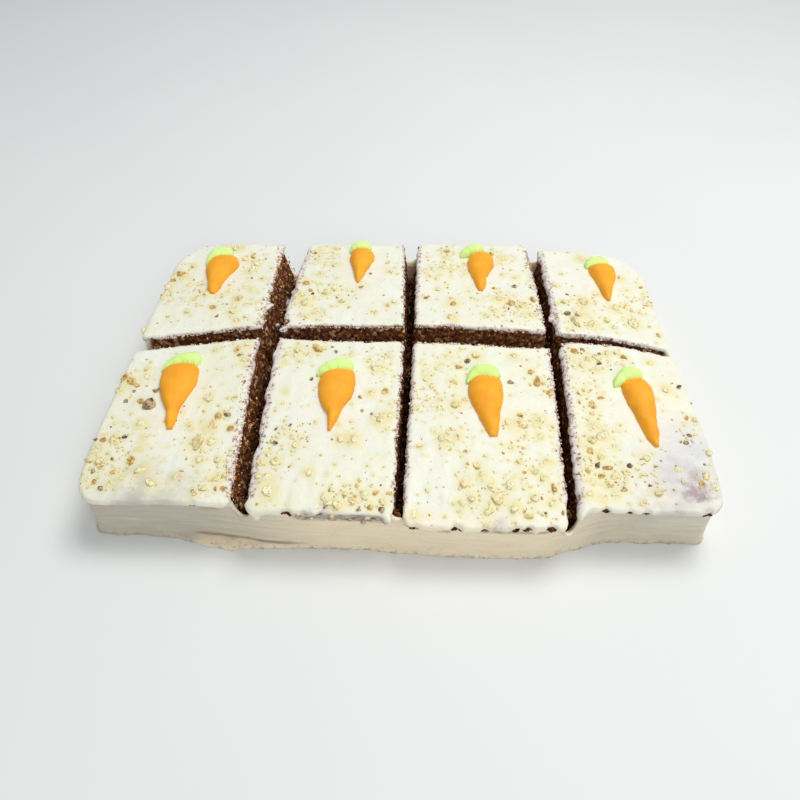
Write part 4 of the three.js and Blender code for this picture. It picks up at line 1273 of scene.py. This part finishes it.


# Places where the icing is thin and the cake shows through, and patches of painted shade: place, reach, size
# of the patches' noise, the noise range that fades them in, and colour. The first two, bluish over the corner
# of the fourth front slice, are partly painted shade; the last two, on the wall under the front lip at both
# ends, are painted shade.
STAINS_AND_SHADE = (
    ((152, -78, 39), 40, 40, (0.3, 0.7), (0.72, 0.71, 0.74)),
    ((157, -90, 38), 25, 90, (0.4, 0.7), (0.60, 0.57, 0.60)),
    ((155, -97, 38), 16, 150, (0.46, 0.62), (0.41, 0.32, 0.33)),
    ((-40, -119, 35), 11, 150, (0.42, 0.62), (0.60, 0.54, 0.50)),
    ((52, -121, 33), 9, 150, (0.42, 0.62), (0.60, 0.54, 0.50)),
    ((135, -108, 31), 30, 70, (0.35, 0.7), (0.56, 0.51, 0.48)),
    ((-130, -112, 31), 34, 50, (0.35, 0.7), (0.56, 0.53, 0.46)),
)


WARM_WHITE = ((0.35, (0.86, 0.85, 0.69)), (0.62, (0.87, 0.875, 0.78)))
BEIGE_STREAKS = ((0.3, (0.89, 0.75, 0.54)), (0.55, (0.94, 0.81, 0.59)), (0.75, (0.94, 0.85, 0.65)))
# Darker greyish streaks, painted shade on the front wall
SHADED_WALL_STREAKS = ((0.3, (0.52, 0.47, 0.36)), (0.6, (0.60, 0.56, 0.45)), (0.8, (0.68, 0.64, 0.54)))
# Dark and greyish patches laid over the torn band of the front lip
TORN_BAND_GREYS = ((0.4, (0.24, 0.18, 0.16)), (0.62, (0.62, 0.55, 0.49)))
SMEARED_CRUMB = ((0.34, (0.26, 0.12, 0.07)), (0.42, (0.64, 0.50, 0.44)), (0.5, (0.84, 0.78, 0.75)))
# Colours laid where amounts are stored: the line in the fold over the smear is painted shade, the strip under
# the front lip brown cake with painted shadow
PAINTED_COLOURS = {"crease_shade": (0.30, 0.22, 0.15), "under_lip_brown_and_shade": (0.30, 0.17, 0.11)}


def icing_top_tone(tree, place):
    """Warm white, a little yellower in patches and spots."""
    tone = ramp(tree, noise_texture(tree, place, 34, 4), WARM_WHITE)
    spots = mask(tree, noise_texture(tree, place, 150, 2), 0.58, 0.70, 0.6)
    return blend_colours(tree, spots, tone, (0.84, 0.80, 0.58))


def icing_wall_tone(tree, stretched):
    """Streaks of beige, and darker greyish streaks of painted shade where the wall holds that amount."""
    streaks = noise_texture(tree, stretched, 45, 4)
    beige, painted_wall_shade = ramp(tree, streaks, BEIGE_STREAKS), ramp(tree, streaks, SHADED_WALL_STREAKS)
    return blend_colours(tree, painted(tree, "painted_wall_shade"), beige, painted_wall_shade)


def brown_flecks(tree, place, stretched):
    """Small flecks, sparse and in groups."""
    cells = add(tree, "ShaderNodeTexVoronoi", {"Vector": stretched, "Scale": 120}).outputs["Distance"]
    fleck = ramp(tree, cells, [(0.07, (1, 1, 1)), (0.13, (0, 0, 0))])
    sparse = mask(tree, noise_texture(tree, place, 60, 2), 0.47, 0.55)
    return blend_colours(tree, 1.0, fleck, sparse, "MULTIPLY")


def icing_material():
    material, tree, shader, place = new_material("cream_cheese_icing", 0.5, 0.2)
    shader.inputs["Specular IOR Level"].default_value = 0.35
    height = add(tree, "ShaderNodeSeparateXYZ", {"Vector": place}).outputs["Z"]
    stretched = add(tree, "ShaderNodeMapping", {"Vector": place, "Scale": (1, 1, 9)}).outputs["Vector"]
    side = under_height(tree, height, 0.036, 0.029)
    tone = blend_colours(tree, side, icing_top_tone(tree, place), icing_wall_tone(tree, stretched))
    tone = blend_colours(tree, painted(tree, "nutty"), tone, (0.82, 0.72, 0.33))
    torn_band_greys = ramp(tree, noise_texture(tree, stretched, 110, 4), TORN_BAND_GREYS)
    tone = blend_colours(tree, painted(tree, "torn"), tone, torn_band_greys)
    for name, colour in PAINTED_COLOURS.items():
        tone = blend_colours(tree, painted(tree, name), tone, colour)
    foot = under_height(tree, height, 0.003, 0.0006)
    dirt = mask(tree, noise_texture(tree, place, 380, 4), 0.5, 0.58, 0.8)
    tone = blend_colours(tree, blend_colours(tree, 1.0, foot, dirt, "MULTIPLY"), tone, (0.45, 0.32, 0.22))
    smeared = ramp(tree, noise_texture(tree, place, 420, 4, 0.6), SMEARED_CRUMB)
    tone = blend_colours(tree, painted(tree, "dragged"), tone, smeared)
    # Stains where the cake shows through, and patches of painted shade under the front lip and on the fourth
    # front slice's corner
    for spot, reach, size, (low, high), colour in STAINS_AND_SHADE:
        tone = blend_colours(tree, near(tree, place, spot, reach, size, low, high), tone, colour)
    tone = blend_colours(tree, brown_flecks(tree, place, stretched), tone, (0.42, 0.25, 0.11))
    tree.links.new(tone, shader.inputs["Base Color"])
    coarse = bump(tree, noise_texture(tree, place, 420, 4, 0.6), 0.0007, 0.45)
    fine = bump(tree, noise_texture(tree, place, 1500, 2), 0.0002, 0.3, coarse)
    tree.links.new(fine, shader.inputs["Normal"])
    return material


def sponge_material(name, light):
    material, tree, shader, place = new_material(name, 0.85, 0.08, (0.002, 0.0008, 0.0004))
    shader.inputs["Specular IOR Level"].default_value = 0.25
    mottle = noise_texture(tree, place, 420, 5, 0.7)
    stops = [
        (0.36, (0.03, 0.008, 0.003)),
        (0.47, (0.12, 0.034, 0.009)),
        (0.56, (0.28, 0.095, 0.026)),
        (0.68, (0.62, 0.32, 0.13)),
    ]
    lit_stops = [(position, tuple(light * part for part in colour)) for position, colour in stops]
    tone = ramp(tree, mottle, lit_stops)
    cells = add(tree, "ShaderNodeTexVoronoi", {"Vector": place, "Scale": 420})
    pick = add(tree, "ShaderNodeSeparateColor", {"Color": cells.outputs["Color"]}).outputs["Red"]
    speck = mask(tree, pick, 0.86, 0.9)
    tone = blend_colours(tree, speck, tone, (0.62 * light, 0.40 * light, 0.20 * light))
    tree.links.new(tone, shader.inputs["Base Color"])
    pores = bump(tree, mottle, 0.0016, 0.8)
    grain = bump(tree, noise_texture(tree, place, 1100, 3), 0.0005, 0.6, pores)
    tree.links.new(grain, shader.inputs["Normal"])
    return material


def walnut_material(name, pale, deep):
    material, tree, shader, place = new_material(name, 0.48, 0.2, (0.0016, 0.001, 0.0005))
    patch = noise_texture(tree, place, 340, 4, 0.6)
    tone = ramp(tree, patch, [(0.40, deep), (0.55, pale)])
    whole = ramp(tree, noise_texture(tree, place, 700, 2), [(0.34, (0.62, 0.52, 0.38)), (0.48, (1, 1, 1))])
    tone = blend_colours(tree, 1.0, tone, whole, "MULTIPLY")
    tree.links.new(tone, shader.inputs["Base Color"])
    tree.links.new(bump(tree, patch, 0.0005, 0.5), shader.inputs["Normal"])
    return material


def piping_material(name, light, deep, radius):
    material, tree, shader, place = new_material(name, 0.58, 0.3, radius)
    shader.inputs["Specular IOR Level"].default_value = 0.25
    tone = ramp(tree, noise_texture(tree, place, 120, 3), [(0.3, deep), (0.7, light)])
    tree.links.new(tone, shader.inputs["Base Color"])
    soft = bump(tree, noise_texture(tree, place, 500, 3), 0.0004, 0.35)
    tree.links.new(soft, shader.inputs["Normal"])
    return material


# Stage


CAMERA = {"place": (5, -318.8, 339), "tilt": 47, "turn": -1.3, "roll": 0.5, "focal_px": 709, "frame_px": 800}


def add_camera():
    """The photograph's view, fitted from the cake's corners and cuts."""
    tilt, turn, roll = (math.radians(CAMERA[key]) for key in ("tilt", "turn", "roll"))
    forward = Vector((math.sin(turn) * math.cos(tilt), math.cos(turn) * math.cos(tilt), -math.sin(tilt)))
    level = Vector((math.cos(turn), -math.sin(turn), 0))
    upright = level.cross(forward)
    right = math.cos(roll) * level + math.sin(roll) * upright
    up = -math.sin(roll) * level + math.cos(roll) * upright
    data = bpy.data.cameras.new("view")
    data.lens = CAMERA["focal_px"] / CAMERA["frame_px"] * data.sensor_width
    data.clip_start = 0.01
    camera = bpy.data.objects.new("view", data)
    camera.matrix_world = Matrix.Translation(Vector(CAMERA["place"]) * MM) @ Matrix(
        (right, up, -forward)
    ).transposed().to_4x4()
    bpy.context.scene.collection.objects.link(camera)
    bpy.context.scene.camera = camera


def area_light(name, place, target, size, power, colour=(1, 1, 1)):
    data = bpy.data.lights.new(name, "AREA")
    data.size = size
    data.energy = power
    data.color = colour
    light = bpy.data.objects.new(name, data)
    light.location = place
    light.rotation_euler = (Vector(target) - Vector(place)).to_track_quat("-Z", "Y").to_euler()
    bpy.context.scene.collection.objects.link(light)


def add_stage():
    """A plain pale floor and soft light from above."""
    material, tree, shader, place = new_material("pale_floor", 0.9)
    stops = [(0.3, (0.78, 0.80, 0.80)), (0.7, (0.81, 0.825, 0.825))]
    shade = ramp(tree, noise_texture(tree, place, 3, 2), stops)
    tree.links.new(shade, shader.inputs["Base Color"])
    reach = 2500
    corners = [(-reach, -reach, 0), (reach, -reach, 0), (reach, reach, 0), (-reach, reach, 0)]
    floor = mesh_object("floor", corners, [(0, 1, 2, 3)], material)
    world = bpy.data.worlds.new("soft_room")
    world.use_nodes = True
    world.node_tree.nodes["Background"].inputs["Color"].default_value = (0.95, 0.98, 1, 1)
    world.node_tree.nodes["Background"].inputs["Strength"].default_value = 0.42
    bpy.context.scene.world = world
    area_light("overhead", (0.4, 0.3, 1.35), (0, 0, 0), 0.7, 12.2, (1, 0.985, 0.96))
    area_light("front_fill", (0.5, -1.1, 0.9), (0, 0, 0.02), 0.8, 5.4)
    bpy.context.scene.view_settings.view_transform = "Standard"


def finish_piece(piece, material, slot_name, *nodes):
    """Gives a piece its material and its body, and hides the solids that it stands for. Its slot name is not
    used.
    """
    piece.data.materials.clear()
    piece.data.materials.append(material)
    piece.data.polygons.foreach_set("use_smooth", [True] * len(piece.data.polygons))
    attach(piece, "root")
    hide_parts(*nodes)


# Pieces


# Each kind of walnut's light and deep colour
NUT_COLOURS = {
    "coated": ((0.90, 0.86, 0.60), (0.88, 0.79, 0.46)),
    "pale": ((0.90, 0.82, 0.50), (0.83, 0.68, 0.32)),
    "tan": ((0.80, 0.60, 0.24), (0.50, 0.27, 0.06)),
    "skin": ((0.55, 0.42, 0.24), (0.10, 0.05, 0.022)),
}
# How many flat cuts shape a lump, and how flat it lies
NUT_FORM = (9, 0.54)
BAND_FORM = (7, 0.7)
FLECK_FORM = (4, 0.6)
CRUMB_FORM = (5, 0.85)
EDGE_CRUMB_FORM = (5, 0.8)
CRUMB_DEPTH = 30


def add_walnuts(skin, nuts, random):
    """The walnuts in the icing, the bits on the torn band of its lip, and small flecks of walnut skin."""
    materials = {kind: walnut_material(f"walnut_{kind}", *colours) for kind, colours in NUT_COLOURS.items()}
    for kind, material in materials.items():
        smooth = kind in ("coated", "pale")
        lumps_by_size(f"walnut_{kind}", nuts[kind], material, "icing", random, *NUT_FORM, smooth)
    torn_nut = walnut_material("torn_nut", (0.80, 0.68, 0.48), (0.45, 0.30, 0.16))
    lumps("band_bits", band_places(skin, random), torn_nut, "icing", random, 2, *BAND_FORM)
    spots = scattered(FLECKS, random, 0.4)
    top = crown_at(spots[:, 0], spots[:, 1])
    flecks = np.column_stack([spots, top, random.uniform(0.25, 0.5, FLECKS)])
    lumps("walnut_flecks", flecks, materials["skin"], "icing", random, 1, *FLECK_FORM)


def add_sponge(random):
    """The slices, the crumbs in the cuts and beside them, and the crumb that shows in the torn lip."""
    sponge = sponge_material("carrot_sponge", 0.88)
    # Copies of the sponge made lighter and darker: the crumbs on the cut walls take one 2.3 times as light,
    # as painted light, and the crumb in the tears takes one half as light, as painted shadow under the lip
    crumb = sponge_material("sponge_crumb_lit", 2.3)
    shade = sponge_material("sponge_shade", 0.5)
    smeared = walnut_material("crumb_in_icing", (0.88, 0.78, 0.70), (0.44, 0.24, 0.15))
    for row, column in SLICES:
        sponge_block(row, column, sponge)
    lumps_by_size("crumbs", crumb_places(random, CRUMB_DEPTH, 1), crumb, "sponge", random, *CRUMB_FORM)
    lumps("crumb_heaps", heap_places(random), sponge, "sponge", random, 2, *CRUMB_FORM)
    lumps("crumb_tears", tear_places(random), shade, "sponge", random, 2, *FLECK_FORM)
    lumps_by_size("edge_crumbs", crumb_places(random, 0, 0.7), smeared, "icing", random, *EDGE_CRUMB_FORM)


def add_piping():
    """The carrots and their leaves, each with seeds of its own."""
    orange = piping_material("carrot_icing", (1.0, 0.465, 0.03), (0.98, 0.37, 0.02), (0.0025, 0.001, 0.0004))
    green = piping_material("leaf_icing", (0.77, 1.0, 0.38), (0.67, 0.98, 0.27), (0.0016, 0.0022, 0.0008))
    for number, place in enumerate(DECORATIONS):
        carrot(place, orange, CARROT_SEED + number)
        leaf(place, green, LEAF_SEED + number)


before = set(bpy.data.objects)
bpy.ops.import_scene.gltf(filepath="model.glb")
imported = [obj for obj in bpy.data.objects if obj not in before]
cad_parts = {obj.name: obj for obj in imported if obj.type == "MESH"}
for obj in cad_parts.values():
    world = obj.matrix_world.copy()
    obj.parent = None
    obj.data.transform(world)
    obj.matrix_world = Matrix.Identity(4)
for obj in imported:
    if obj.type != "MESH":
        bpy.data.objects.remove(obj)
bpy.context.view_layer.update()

add_camera()
add_stage()

random = np.random.default_rng(SEED)
nuts = place_nuts(random)
skin = icing_skin(icing_material(), nuts)
paint_icing(skin, nuts)
add_walnuts(skin, nuts, random)
add_sponge(random)
add_piping()
